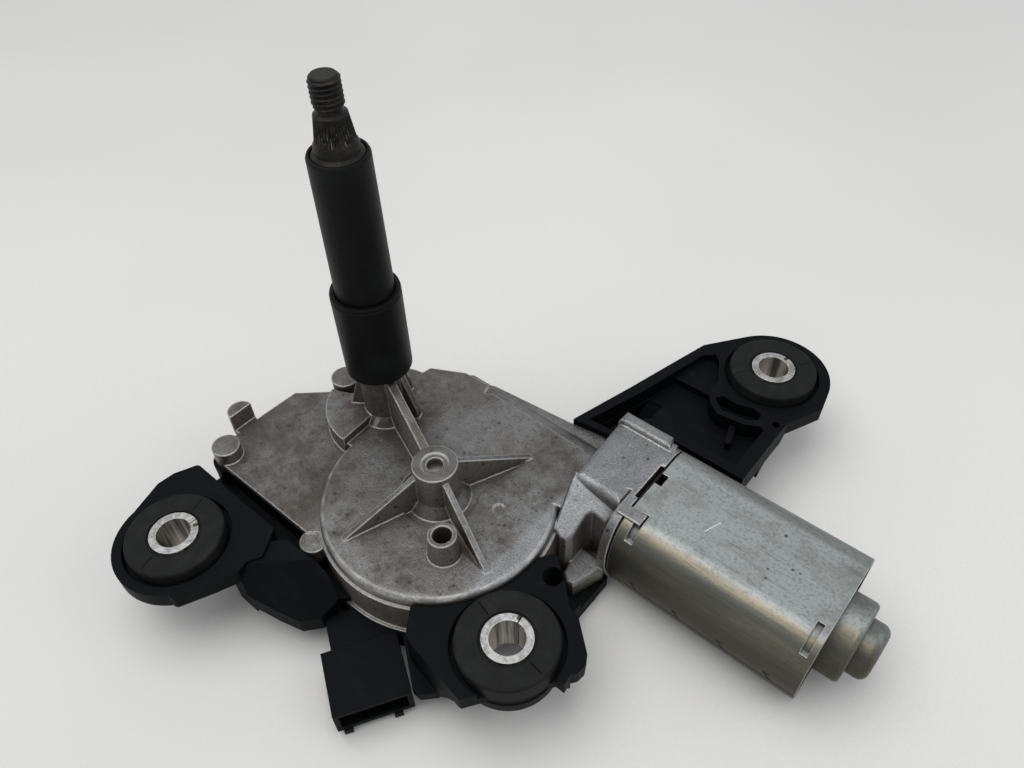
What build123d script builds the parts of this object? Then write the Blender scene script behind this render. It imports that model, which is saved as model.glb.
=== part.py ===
from build123d import *
import math
import os

os.makedirs("parts", exist_ok=True)

# Wiper gear motor. Millimetres. The origin is where the output spindle's axis meets the plane the
# cover rests on. +Z runs up the spindle, +X runs along the motor towards the tail, +Y to the back.

# ---- levels -------------------------------------------------------------------------------------
FLOOR_Z = 2.5
SPLIT_Z = 8.0
PASSAGE_Z = 11.8
CASE_Z = 21.5
LOW_PLATE_Z = 23.5
ROOF_Z = 24.6
PLATE_Z = 27.0
PAD_Z = 30.0
ARM_Z = 26.0
ARM_SKIN = 3.0
SHELF_Z = 14.0

# ---- spindle ------------------------------------------------------------------------------------
SPINDLE_R = 5.0
RUN_GAP = 0.04
BUSH_R = 6.0
LOWER_BUSH_Z = 38.0
UPPER_BUSH_Z = 103.0
STEM_R = 7.2
STEM_TOP_R = 6.85
STEM_TOP_Z = 118.0
COLLAR_Z = 48.0
COLLAR_TOP_Z = 78.1
COLLAR_R = 10.33
SLEEVE_TOP_Z = 121.6
TIP_Z = 141.7

# ---- gear wheel ---------------------------------------------------------------------------------
WHEEL_X = 36.9
WHEEL_Y = -14.9
WHEEL_LOW = 13.5
WHEEL_HIGH = 21.5
WHEEL_TEETH = 66
DOME_R = 36.0
WALL_R = 36.8
CHAMBER_R = 34.8
AXLE_R = 3.0
AXLE_LOW_Z = 12.2
AXLE_TOP_Z = 38.0
CLIP_Z = 12.6
CLIP_THICK = 0.6
BOSS_R = 6.75
BOSS_Z = 41.5
VENT_X, VENT_Y = 52.1, -28.8
CRANK_R = 10.0

# ---- worm and motor -----------------------------------------------------------------------------
AXIS_Y = 24.1
AXIS_Z = 17.5
WORM_PITCH = math.pi
WORM_ROOT_R = 4.75
TUNNEL_R = 7.8
CAN_X = 87.0
CAN_END_X = 147.0
CAN_R = 22.04
CAN_FLAT = 15.5
CAN_WALL = 1.3
CAN_CORNER = 8.0
MAGNET_HALF_ARC = 31.0
MAGNET_OUTER_R = CAN_R - CAN_WALL - 0.02
SHAFT_R = 4.0
JOURNAL_R = 3.0
BEARING_X = 77.0
BEARING_R = 11.0
BEARING_WIDTH = 7.0
MAGNET_R = 14.3
BRUSH_OFFSET = 12.6

# ---- linkage ------------------------------------------------------------------------------------
ROCKER_R = 21.0
ROCKER_ANGLE = -142.0
PINION_TEETH = 20
SECTOR_TEETH = 22
SECTOR_GEAR_R = 11.0
PIVOT_X = ROCKER_R * math.cos(math.radians(ROCKER_ANGLE))
PIVOT_Y = ROCKER_R * math.sin(math.radians(ROCKER_ANGLE))
LINK_ANGLE = math.degrees(math.atan2(WHEEL_Y - PIVOT_Y, WHEEL_X - PIVOT_X))
PIN_X = WHEEL_X - CRANK_R * math.cos(math.radians(LINK_ANGLE))
PIN_Y = WHEEL_Y - CRANK_R * math.sin(math.radians(LINK_ANGLE))
LINK_LOW = 7.0
LINK_HIGH = 11.0

# ---- grommets and their arms --------------------------------------------------------------------
FRONT_X, FRONT_Y = 83.4, -38.3
LEFT_X, LEFT_Y = -12.2, -74.1
REAR_X, REAR_Y = 90.5, 92.8
RUBBER_R = 14.2
RUBBER_NECK_R = 10.5
RUBBER_Z = 29.0
RUBBER_LOW_Z = 16.8
RING_SEAT_R = 15.6
RING_LOW_Z = 20.5
RING_WEB_Z = 23.5
BUSHING_R = 7.0
BUSHING_BORE_R = 4.95
BUSHING_LOW_Z = 16.5
BUSHING_Z = 29.3

# ---- screws: place and height of the seat under the head ----------------------------------------
SCREW_R = 2.0
SCREW_HEAD_R = 3.8
SCREW_HEAD_H = 2.6
SCREW_LENGTH = 14.0
SHORT_LENGTH = 7.0
LONG_SCREWS = [(-28.3, -44.1, 12.5), (17.5, -49.0, 8.0)]
SHORT_SCREWS = [(80.7, -1.4, 2.6), (4.0, 21.5, 2.6)]
REAR_POST_X, REAR_POST_Y = -18.6, -1.3
REAR_POST_R = 4.65
LUG_X, LUG_Y = 17.5, -48.5
LUG_Z = 18.5
LUG_R = 4.1

# ---- connector: centre of the mouth and the way a plug goes in ----------------------------------
MOUTH_X, MOUTH_Y = 61.75, -69.15
MOUTH_ANGLE = -31.8
PIN_OFFSETS = [-7.0, -3.5, 0.0, 3.5, 7.0]
PIN_Z = 6.85
PIN_WIDE = 1.2
PIN_THICK = 0.8
SHELL_Z = 2.5
NECK_OFFSET = 1.45
NECK_WIDE = 18.7


def level(z, x=0.0, y=0.0, turn=0.0):
    """Plane facing up at the height z."""
    turned = (math.cos(math.radians(turn)), math.sin(math.radians(turn)), 0)
    return Plane(origin=(x, y, z), x_dir=turned, z_dir=(0, 0, 1))


def across(x):
    """Plane on the motor axis facing along +X, its first axis along +Y."""
    return Plane(origin=(x, AXIS_Y, AXIS_Z), x_dir=(0, 1, 0), z_dir=(1, 0, 0))


def upright(x, y, angle):
    """Plane standing on (x, y), its first axis along the angle and its second up."""
    along = (math.cos(math.radians(angle)), math.sin(math.radians(angle)), 0)
    return Plane(origin=(x, y, 0), x_dir=along, z_dir=(along[1], -along[0], 0))


def polar(x, y, radius, angle):
    """Point at a radius and an angle round (x, y)."""
    return (
        x + radius * math.cos(math.radians(angle)),
        y + radius * math.sin(math.radians(angle)),
    )


def post(x, y, low, high, radius, mode=Mode.ADD):
    """Upright cylinder."""
    with Locations((x, y, low)):
        Cylinder(radius, high - low, align=(Align.CENTER, Align.CENTER, Align.MIN), mode=mode)


def taper(x, y, low, high, low_radius, high_radius, mode=Mode.ADD):
    """Upright tapered cylinder."""
    with Locations((x, y, low)):
        Cone(
            low_radius,
            high_radius,
            high - low,
            align=(Align.CENTER, Align.CENTER, Align.MIN),
            mode=mode,
        )


def slab(points, low, high, mode=Mode.ADD, corner=0.0):
    """Upright prism on a closed outline."""
    with BuildSketch(level(low)) as outline:
        with BuildLine():
            Polyline(*points, close=True)
        make_face()
        if corner:
            fillet(outline.vertices(), corner)
    extrude(outline.sketch, amount=high - low, mode=mode)


def wall(points, low, high, thickness, mode=Mode.ADD):
    """Upright wall of one thickness centred on an open line."""
    for first, second in zip(points, points[1:]):
        length = math.dist(first, second)
        turn = math.degrees(math.atan2(second[1] - first[1], second[0] - first[0]))
        with BuildSketch(level(low, *first, turn)) as outline:
            Rectangle(length, thickness, align=(Align.MIN, Align.CENTER))
            Circle(thickness / 2)
            with Locations((length, 0)):
                Circle(thickness / 2)
        extrude(outline.sketch, amount=high - low, mode=mode)


def prism(plane, points, amount, mode=Mode.ADD):
    """Prism on a closed outline drawn on any plane."""
    with BuildSketch(plane) as outline:
        with BuildLine():
            Polyline(*points, close=True)
        make_face()
    extrude(outline.sketch, amount=amount, mode=mode)


def facing_x(x):
    """Plane at x facing along +X whose axes are Y and Z."""
    return Plane(origin=(x, 0, 0), x_dir=(0, 1, 0), z_dir=(1, 0, 0))


def facing_front(y):
    """Plane at y facing along -Y whose axes are X and Z."""
    return Plane(origin=(0, y, 0), x_dir=(1, 0, 0), z_dir=(0, -1, 0))


def barrel(start, end, radius, mode=Mode.ADD):
    """Cylinder lying on the motor axis."""
    with BuildSketch(across(start)) as outline:
        Circle(radius)
    extrude(outline.sketch, amount=end - start, mode=mode)


def yoke(start, end, inset, mode=Mode.ADD):
    """Section of the can on the motor axis, drawn in by an inset: round sides, two flats, soft arrises."""
    with BuildSketch(across(start)) as outline:
        Circle(CAN_R - inset)
        Rectangle(2 * CAN_R, 2 * (CAN_FLAT - inset), mode=Mode.INTERSECT)
        ends = outline.vertices().group_by(Axis.Y)
        fillet(ends[0] + ends[-1], CAN_CORNER - inset)
    extrude(outline.sketch, amount=end - start, mode=mode)


def gear_outline(teeth, root, pitch, tip, thick, turn, low_tooth, high_tooth):
    """Points of straight-sided teeth, tooth 0 centred on the angle turn."""
    flare = math.tan(math.radians(20))
    points = []
    for tooth in range(low_tooth, high_tooth):
        centre = turn + 360 * tooth / teeth
        half_root = math.degrees((thick / 2 + (pitch - root) * flare) / root)
        half_tip = math.degrees((thick / 2 - (tip - pitch) * flare) / tip)
        points.append(polar(0, 0, root, centre - half_root))
        points.append(polar(0, 0, tip, centre - half_tip))
        points.append(polar(0, 0, tip, centre + half_tip))
        points.append(polar(0, 0, root, centre + half_root))
    return points


def save(part, label):
    """Name a finished piece and write it out."""
    part.label = label
    export_step(part, f"parts/{label}.step")


# ==== gear housing ===============================================================================
UPPER_PLATE = [
    (-2.7, 17.7),
    (-1.8, 22.1),
    (9.4, 27.9),
    (19.3, 28.5),
    (20.4, 24.7),
    (23.0, 26.2),
    (43.0, 26.3),
    (59.5, 25.6),
    (66.5, 24.5),
    (66.5, 11.0),
    (68.6, 4.0),
    (20.0, 0.0),
    (6.0, 0.0),
]
WORM_CASE = [
    (8.4, 27.0),
    (18.9, 31.9),
    (48.5, 34.6),
    (58.7, 36.1),
    (68.0, 37.0),
    (68.0, 13.0),
    (8.4, 13.6),
]
LOW_PLATE = [
    (-24.7, -6.3),
    (-32.7, -13.3),
    (-33.4, -27.0),
    (-33.0, -46.0),
    (-31.0, -48.0),
    (13.8, -48.1),
    (24.0, -40.0),
    (24.0, 0.0),
    (0.0, 4.0),
    (-17.0, 2.0),
]
BLOCK = [
    (65.2, 37.2),
    (65.6, 41.8),
    (84.4, 42.2),
    (86.2, 34.1),
    (86.2, 19.3),
    (83.6, 18.5),
    (83.4, 12.0),
    (66.4, 12.2),
]
COLUMN = [
    (66.0, 14.4),
    (66.2, 12.0),
    (70.1, -1.8),
    (73.3, -2.7),
    (75.1, -2.2),
    (76.1, -0.1),
    (75.9, 6.9),
    (76.8, 8.3),
    (81.7, 8.4),
    (82.3, 10.6),
    (83.5, 16.3),
]
SCREW_PAD = [(76.4, -4.8), (79.1, -7.0), (81.6, -6.7), (85.1, 3.5), (84.6, 5.3), (74.0, 6.0)]
FINS = [66.0, -21.0, -110.0]
FIN_REACH = 31.0

# saddle that carries the motor, eased along its top
with BuildPart() as block:
    slab(BLOCK, 3.0, 33.0)
    fillet(block.edges().group_by(Axis.Z)[-1].filter_by_position(Axis.X, 60.0, 84.0), 2.6)
with BuildPart() as block_rib:
    slab([(65.4, 37.4), (65.6, 42.2), (82.6, 42.2), (84.4, 37.4)], 30.0, 34.5)
    fillet(block_rib.edges().group_by(Axis.Z)[-1], 1.4)
# column in front of the block: its top slopes away from the block to the front
FACET = Plane(origin=(66.4, 12.2, 32.0), z_dir=(68.6, -100.5, 237.3))
with BuildPart() as column:
    slab(COLUMN, SPLIT_Z, 36.0)
    with BuildSketch(FACET) as above:
        Rectangle(90.0, 90.0)
    extrude(above.sketch, amount=30.0, mode=Mode.SUBTRACT)
    fillet(column.faces().sort_by(Axis.Z)[-1].edges(), 1.0)
with BuildPart() as screw_pad:
    slab(SCREW_PAD, 5.0, 11.0)
    fillet(screw_pad.edges().group_by(Axis.Z)[-1], 1.0)

with BuildPart() as housing:
    # dome over the gear wheel
    post(WHEEL_X, WHEEL_Y, 14.0, PLATE_Z, DOME_R)
    fillet(housing.edges().group_by(Axis.Z)[-1], 2.3)
    post(WHEEL_X, WHEEL_Y, PASSAGE_Z, LOW_PLATE_Z, WALL_R)
    post(WHEEL_X, WHEEL_Y, SPLIT_Z, PASSAGE_Z, WALL_R + 1.0)
    # plates, the case round the worm and the block that carries the motor
    slab(UPPER_PLATE, SPLIT_Z, PLATE_Z)
    slab(WORM_CASE, SPLIT_Z, LOW_PLATE_Z)
    barrel(10.0, 68.0, TUNNEL_R + 1.5)
    slab(LOW_PLATE, CASE_Z, LOW_PLATE_Z)
    post(0, 0, CASE_Z, PLATE_Z, 19.0)
    add(block.part)
    add(block_rib.part)
    add(column.part)
    yoke(83.4, CAN_X - 0.8, 0)
    yoke(CAN_X - 0.8, CAN_X + 6.0, CAN_WALL + 0.02)
    add(screw_pad.part)
    # step of the plate above the linkage, round the spindle
    with BuildSketch(level(LOW_PLATE_Z)) as pad:
        with BuildLine():
            Line(polar(0, 0, 6, -158), polar(0, 0, 20, -158))
            ThreePointArc(polar(0, 0, 20, -158), polar(0, 0, 20, -123), polar(0, 0, 20, -88))
            Line(polar(0, 0, 20, -88), polar(0, 0, 6, -88))
            Line(polar(0, 0, 6, -88), polar(0, 0, 6, -158))
        make_face()
    extrude(pad.sketch, amount=PAD_Z - LOW_PLATE_Z)
    # posts and lugs over the cover screws and at the corner of the low plate
    post(*LONG_SCREWS[0][:2], CASE_Z, 28.0, 4.4)
    post(REAR_POST_X, REAR_POST_Y, CASE_Z, 31.0, REAR_POST_R)
    post(LUG_X, LUG_Y, LUG_Z, 23.0, LUG_R)
    post(-35.0, -32.7, CASE_Z, PAD_Z, 4.1)
    slab(
        [(-34.9, -40.0), (-34.9, -20.0), (-30.0, -20.0), (-30.0, -40.0)],
        LOW_PLATE_Z,
        PAD_Z + 1,
        Mode.SUBTRACT,
    )
    post(SHORT_SCREWS[1][0], SHORT_SCREWS[1][1], SPLIT_Z, LOW_PLATE_Z, 4.4)
    # ring let into the dome round the axle boss, and the wedges beside the fins
    post(WHEEL_X, WHEEL_Y, PLATE_Z - 0.7, PLATE_Z + 1, 12.0, Mode.SUBTRACT)
    for angle in FINS:
        near = polar(WHEEL_X, WHEEL_Y, 10.0, angle - 2)
        tip = polar(WHEEL_X, WHEEL_Y, FIN_REACH - 1.5, angle - 2)
        heel = polar(WHEEL_X, WHEEL_Y, 12.0, angle - 30)
        slab([near, tip, heel], PLATE_Z - 0.7, PLATE_Z + 1, Mode.SUBTRACT)
    # axle boss with three fins, and the vent tube
    taper(WHEEL_X, WHEEL_Y, ROOF_Z, BOSS_Z, BOSS_R + 0.5, BOSS_R)
    taper(WHEEL_X, WHEEL_Y, PLATE_Z - 0.7, PLATE_Z + 2.6, BOSS_R + 3.0, BOSS_R + 0.3)
    for angle in FINS:
        with BuildSketch(upright(WHEEL_X, WHEEL_Y, angle)) as blade:
            with BuildLine():
                Polyline(
                    (BOSS_R - 1, PLATE_Z - 1.5),
                    (FIN_REACH, PLATE_Z - 1.5),
                    (FIN_REACH, PLATE_Z + 0.3),
                    (BOSS_R - 1, BOSS_Z - 1.5),
                    close=True,
                )
            make_face()
        extrude(blade.sketch, amount=0.9, both=True)
    taper(VENT_X, VENT_Y, PLATE_Z - 1, 35.7, 5.0, 4.15)
    # stem round the spindle, its gussets and the rib to the axle boss
    taper(0, 0, ROOF_Z, STEM_TOP_Z, STEM_R, STEM_TOP_R)
    taper(0, 0, PLATE_Z, PLATE_Z + 3.0, STEM_R + 2.0, STEM_R)
    for angle, reach in ((214.0, 11.5), (95.0, 11.5), (20.0, 11.5)):
        with BuildSketch(upright(0, 0, angle)) as web:
            with BuildLine():
                Polyline(
                    (STEM_R - 0.8, PLATE_Z - 1),
                    (reach, PLATE_Z - 1),
                    (reach, PLATE_Z + 3),
                    (STEM_R - 0.8, COLLAR_Z - 0.5),
                    close=True,
                )
            make_face()
        extrude(web.sketch, amount=1.2, both=True)
    rib_angle = math.degrees(math.atan2(WHEEL_Y, WHEEL_X))
    rib_length = math.hypot(WHEEL_X, WHEEL_Y)
    with BuildSketch(upright(0, 0, rib_angle)) as web:
        with BuildLine():
            Polyline(
                (STEM_R - 0.8, PLATE_Z - 1),
                (rib_length - BOSS_R + 0.8, PLATE_Z - 1),
                (rib_length - BOSS_R + 0.8, BOSS_Z - 0.6),
                (STEM_R - 0.8, COLLAR_Z - 0.4),
                close=True,
            )
        make_face()
    extrude(web.sketch, amount=1.35, both=True)
    # hollow for the wheel, the worm, the bearing and the way through to the linkage
    post(WHEEL_X, WHEEL_Y, SPLIT_Z - 1, ROOF_Z, CHAMBER_R, Mode.SUBTRACT)
    barrel(13.0, BEARING_X, TUNNEL_R, Mode.SUBTRACT)
    barrel(BEARING_X, CAN_X, BEARING_R, Mode.SUBTRACT)
    barrel(CAN_X - 2.0, CAN_X + 7.0, 17.0, Mode.SUBTRACT)
    slab(
        [(-40, -36), (7.5, -36), (16, -20), (16, 8), (10, 13), (-5, 18), (-40, 18)],
        7.0,
        PASSAGE_Z,
        Mode.SUBTRACT,
    )
    slab([(-1.0, 16.5), (8.0, 12.5), (3.0, 6.0), (-6.0, 16.0)], 7.0, CASE_Z, Mode.SUBTRACT)
    post(0, 0, 7.0, CASE_Z, 16.5, Mode.SUBTRACT)
    slab([(64.0, 10.5), (68.5, 1.5), (73.5, 0.5), (73.5, 10.5)], 7.0, 21.0, Mode.SUBTRACT)
    # relief under the pad, bores for the bushes, the axle, the vent and the screws
    with BuildSketch(level(ROOF_Z - 4)) as relief:
        with BuildLine():
            Line(polar(0, 0, 9, -154), polar(0, 0, 18, -154))
            ThreePointArc(polar(0, 0, 18, -154), polar(0, 0, 18, -123), polar(0, 0, 18, -92))
            Line(polar(0, 0, 18, -92), polar(0, 0, 9, -92))
            ThreePointArc(polar(0, 0, 9, -92), polar(0, 0, 9, -123), polar(0, 0, 9, -154))
        make_face()
    extrude(relief.sketch, amount=7.0, mode=Mode.SUBTRACT)
    post(0, 0, CASE_Z - 1, STEM_TOP_Z + 1, SPINDLE_R + 0.5, Mode.SUBTRACT)
    post(0, 0, CASE_Z - 1, LOWER_BUSH_Z, BUSH_R, Mode.SUBTRACT)
    post(0, 0, UPPER_BUSH_Z, STEM_TOP_Z + 1, BUSH_R, Mode.SUBTRACT)
    post(WHEEL_X, WHEEL_Y, ROOF_Z - 1, AXLE_TOP_Z, AXLE_R, Mode.SUBTRACT)
    post(WHEEL_X, WHEEL_Y, AXLE_TOP_Z - 1, BOSS_Z + 1, 2.4, Mode.SUBTRACT)
    post(WHEEL_X, WHEEL_Y, BOSS_Z - 0.4, BOSS_Z + 1, 4.0, Mode.SUBTRACT)
    post(VENT_X, VENT_Y, ROOF_Z - 1, 40.0, 2.85, Mode.SUBTRACT)
    for x, y, seat in LONG_SCREWS:
        post(x, y, SPLIT_Z - 1, seat + SCREW_LENGTH + 0.4, SCREW_R, Mode.SUBTRACT)
    for x, y, seat in SHORT_SCREWS:
        post(x, y, 4.0, seat + SHORT_LENGTH + 0.4, SCREW_R, Mode.SUBTRACT)
    # ejector mark on the dome
    post(54.6, -7.9, PLATE_Z - 0.4, PLATE_Z + 1, 1.8, Mode.SUBTRACT)
save(housing.part, "gear_housing")


# ==== bracket cover: tray under the gears with the three arms ======================================
TRAY_LEFT = [
    (-24.7, -6.3),
    (-32.7, -13.3),
    (-33.4, -27.0),
    (-33.0, -46.0),
    (-31.0, -48.0),
    (13.8, -48.1),
    (24.0, -44.0),
    (24.0, 0.0),
    (0.0, 4.0),
    (-17.0, 2.0),
]
TRAY_LEFT_INNER = [
    (-24.0, -9.3),
    (-30.2, -14.6),
    (-30.9, -27.0),
    (-30.5, -45.0),
    (-30.0, -45.5),
    (14.0, -45.6),
    (26.0, -42.0),
    (26.0, 0.0),
    (0.0, 2.0),
    (-17.0, -2.0),
]
TRAY_BACK = [
    (-4.0, 17.5),
    (-1.8, 22.1),
    (8.4, 27.4),
    (18.9, 31.9),
    (48.5, 34.6),
    (66.0, 37.0),
    (66.0, 0.0),
    (10.0, 0.0),
]
TRAY_BACK_INNER = [
    (12.5, 25.5),
    (20.0, 29.2),
    (48.5, 31.8),
    (63.0, 33.5),
    (63.0, 2.0),
    (12.5, 2.0),
]
LEFT_ARM = [
    (-6.0, -53.8),
    (-30.4, -53.6),
    (-33.5, -60.5),
    (-34.0, -66.0),
    (-30.0, -78.0),
    (-12.2, -88.0),
    (2.9, -86.4),
    (7.5, -76.8),
    (10.5, -69.5),
    (9.8, -65.8),
    (11.9, -62.0),
    (7.0, -53.8),
]
LEFT_ARM_HOLLOW = [
    (-8.0, -56.0),
    (-28.6, -56.6),
    (-30.6, -64.0),
    (-20.0, -58.5),
    (-4.0, -58.5),
    (6.6, -66.5),
    (6.4, -60.0),
    (2.0, -56.0),
]
SHELF = [
    (-31.0, -47.0),
    (-31.0, -54.0),
    (-8.0, -62.0),
    (1.0, -69.1),
    (6.8, -66.0),
    (13.3, -64.9),
    (21.0, -62.8),
    (26.9, -61.5),
    (30.9, -56.4),
    (36.0, -50.0),
    (15.0, -46.0),
]
SHELF_HOLLOW = [
    (4.0, -51.0),
    (2.0, -60.0),
    (6.6, -62.6),
    (13.5, -61.8),
    (21.4, -59.8),
    (25.0, -58.8),
    (27.6, -55.5),
    (29.0, -53.0),
    (13.0, -54.5),
]
FRONT_ARM = [
    (55.5, -46.0),
    (61.0, -53.7),
    (66.0, -54.7),
    (83.5, -57.4),
    (87.1, -52.4),
    (98.8, -37.6),
    (102.3, -33.0),
    (102.6, -30.5),
    (101.3, -27.7),
    (93.3, -20.7),
    (89.5, -19.5),
    (84.1, -14.6),
    (81.5, -12.3),
    (76.3, -8.9),
    (73.6, -13.0),
    (68.0, -24.0),
]
FRONT_ROOT = [
    (55.5, -44.0),
    (55.5, -46.0),
    (61.0, -53.7),
    (66.0, -54.7),
    (83.5, -57.4),
    (80.0, -52.0),
    (72.0, -44.0),
]
FRONT_HEEL = [
    (70.0, -20.0),
    (73.6, -13.0),
    (76.3, -8.9),
    (84.1, -14.6),
    (88.0, -18.2),
    (86.0, -26.0),
    (76.0, -26.0),
]
FRONT_OPEN = [
    (83.5, -57.4),
    (87.1, -52.4),
    (98.8, -37.6),
    (112.0, -37.6),
    (112.0, -72.0),
    (83.5, -72.0),
]
REAR_ARM = [
    (49.5, 32.6),
    (56.7, 58.2),
    (60.0, 71.0),
    (65.3, 91.1),
    (74.6, 103.6),
    (90.0, 106.0),
    (105.0, 100.0),
    (109.6, 95.0),
    (110.8, 88.7),
    (105.0, 76.1),
    (104.8, 70.0),
    (104.8, 47.2),
    (66.0, 47.2),
    (66.0, 34.0),
]
REAR_CHANNEL = [
    (54.2, 38.0),
    (60.3, 57.2),
    (63.6, 70.0),
    (67.4, 86.0),
    (70.9, 89.8),
    (73.9, 86.9),
    (78.0, 78.7),
    (78.5, 72.1),
    (81.0, 68.6),
    (85.3, 65.8),
    (94.5, 67.0),
    (98.4, 69.4),
    (100.4, 69.0),
    (100.4, 50.4),
    (69.5, 50.4),
    (63.0, 44.0),
    (62.0, 38.5),
]
REAR_DEEP = [
    (54.6, 38.5),
    (60.4, 57.2),
    (61.9, 62.4),
    (67.0, 62.4),
    (67.0, 48.0),
    (63.0, 44.0),
    (62.0, 38.5),
]
REAR_POCKET = [
    (81.2, 71.4),
    (82.7, 73.8),
    (87.8, 73.4),
    (93.6, 75.2),
    (96.4, 74.4),
    (97.0, 71.6),
    (94.4, 69.3),
    (85.6, 68.0),
]


def ring_bore(x, y):
    """Cuts for the grommet in the ring of an arm."""
    post(x, y, RING_WEB_Z, ARM_Z + 1, RING_SEAT_R, Mode.SUBTRACT)
    post(x, y, 0, ARM_Z + 1, RUBBER_NECK_R, Mode.SUBTRACT)
    post(x, y, -1, RING_LOW_Z, RING_SEAT_R, Mode.SUBTRACT)


# plate that slopes from the left arm down to the tray
RAMP = [
    (6.0, -54.0),
    (8.0, -69.0),
    (14.0, -71.2),
    (22.7, -68.4),
    (28.8, -66.0),
    (33.0, -61.5),
    (34.5, -55.0),
    (28.0, -53.0),
]
SLOPE = Plane(origin=(11.7, -63.4, 25.0), z_dir=(89.3, -99.0, 155.0))
with BuildPart() as ramp:
    slab(RAMP, 3.0, 24.8, corner=1.5)
    with BuildSketch(SLOPE) as over:
        Rectangle(120.0, 120.0)
    extrude(over.sketch, amount=40.0, mode=Mode.SUBTRACT)
    with BuildSketch(SLOPE.offset(-4.5)) as under:
        Rectangle(120.0, 120.0)
    extrude(under.sketch, amount=-40.0, mode=Mode.SUBTRACT)
# room in the rear arm, over a floor that follows its underside
with BuildPart() as rear_room:
    slab(REAR_DEEP, 4.5, ARM_Z + 1)
    prism(facing_x(40.0), [(47.5, 4.0), (63.0, 19.8), (63.0, 2.0), (47.5, 2.0)], 60.0, Mode.SUBTRACT)
    slab(REAR_CHANNEL, 19.8, ARM_Z + 1)
    slab([(60.0, 74.0), (60.0, 95.0), (84.0, 95.0), (84.0, 74.0)], 19.0, 22.8, Mode.SUBTRACT)

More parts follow.
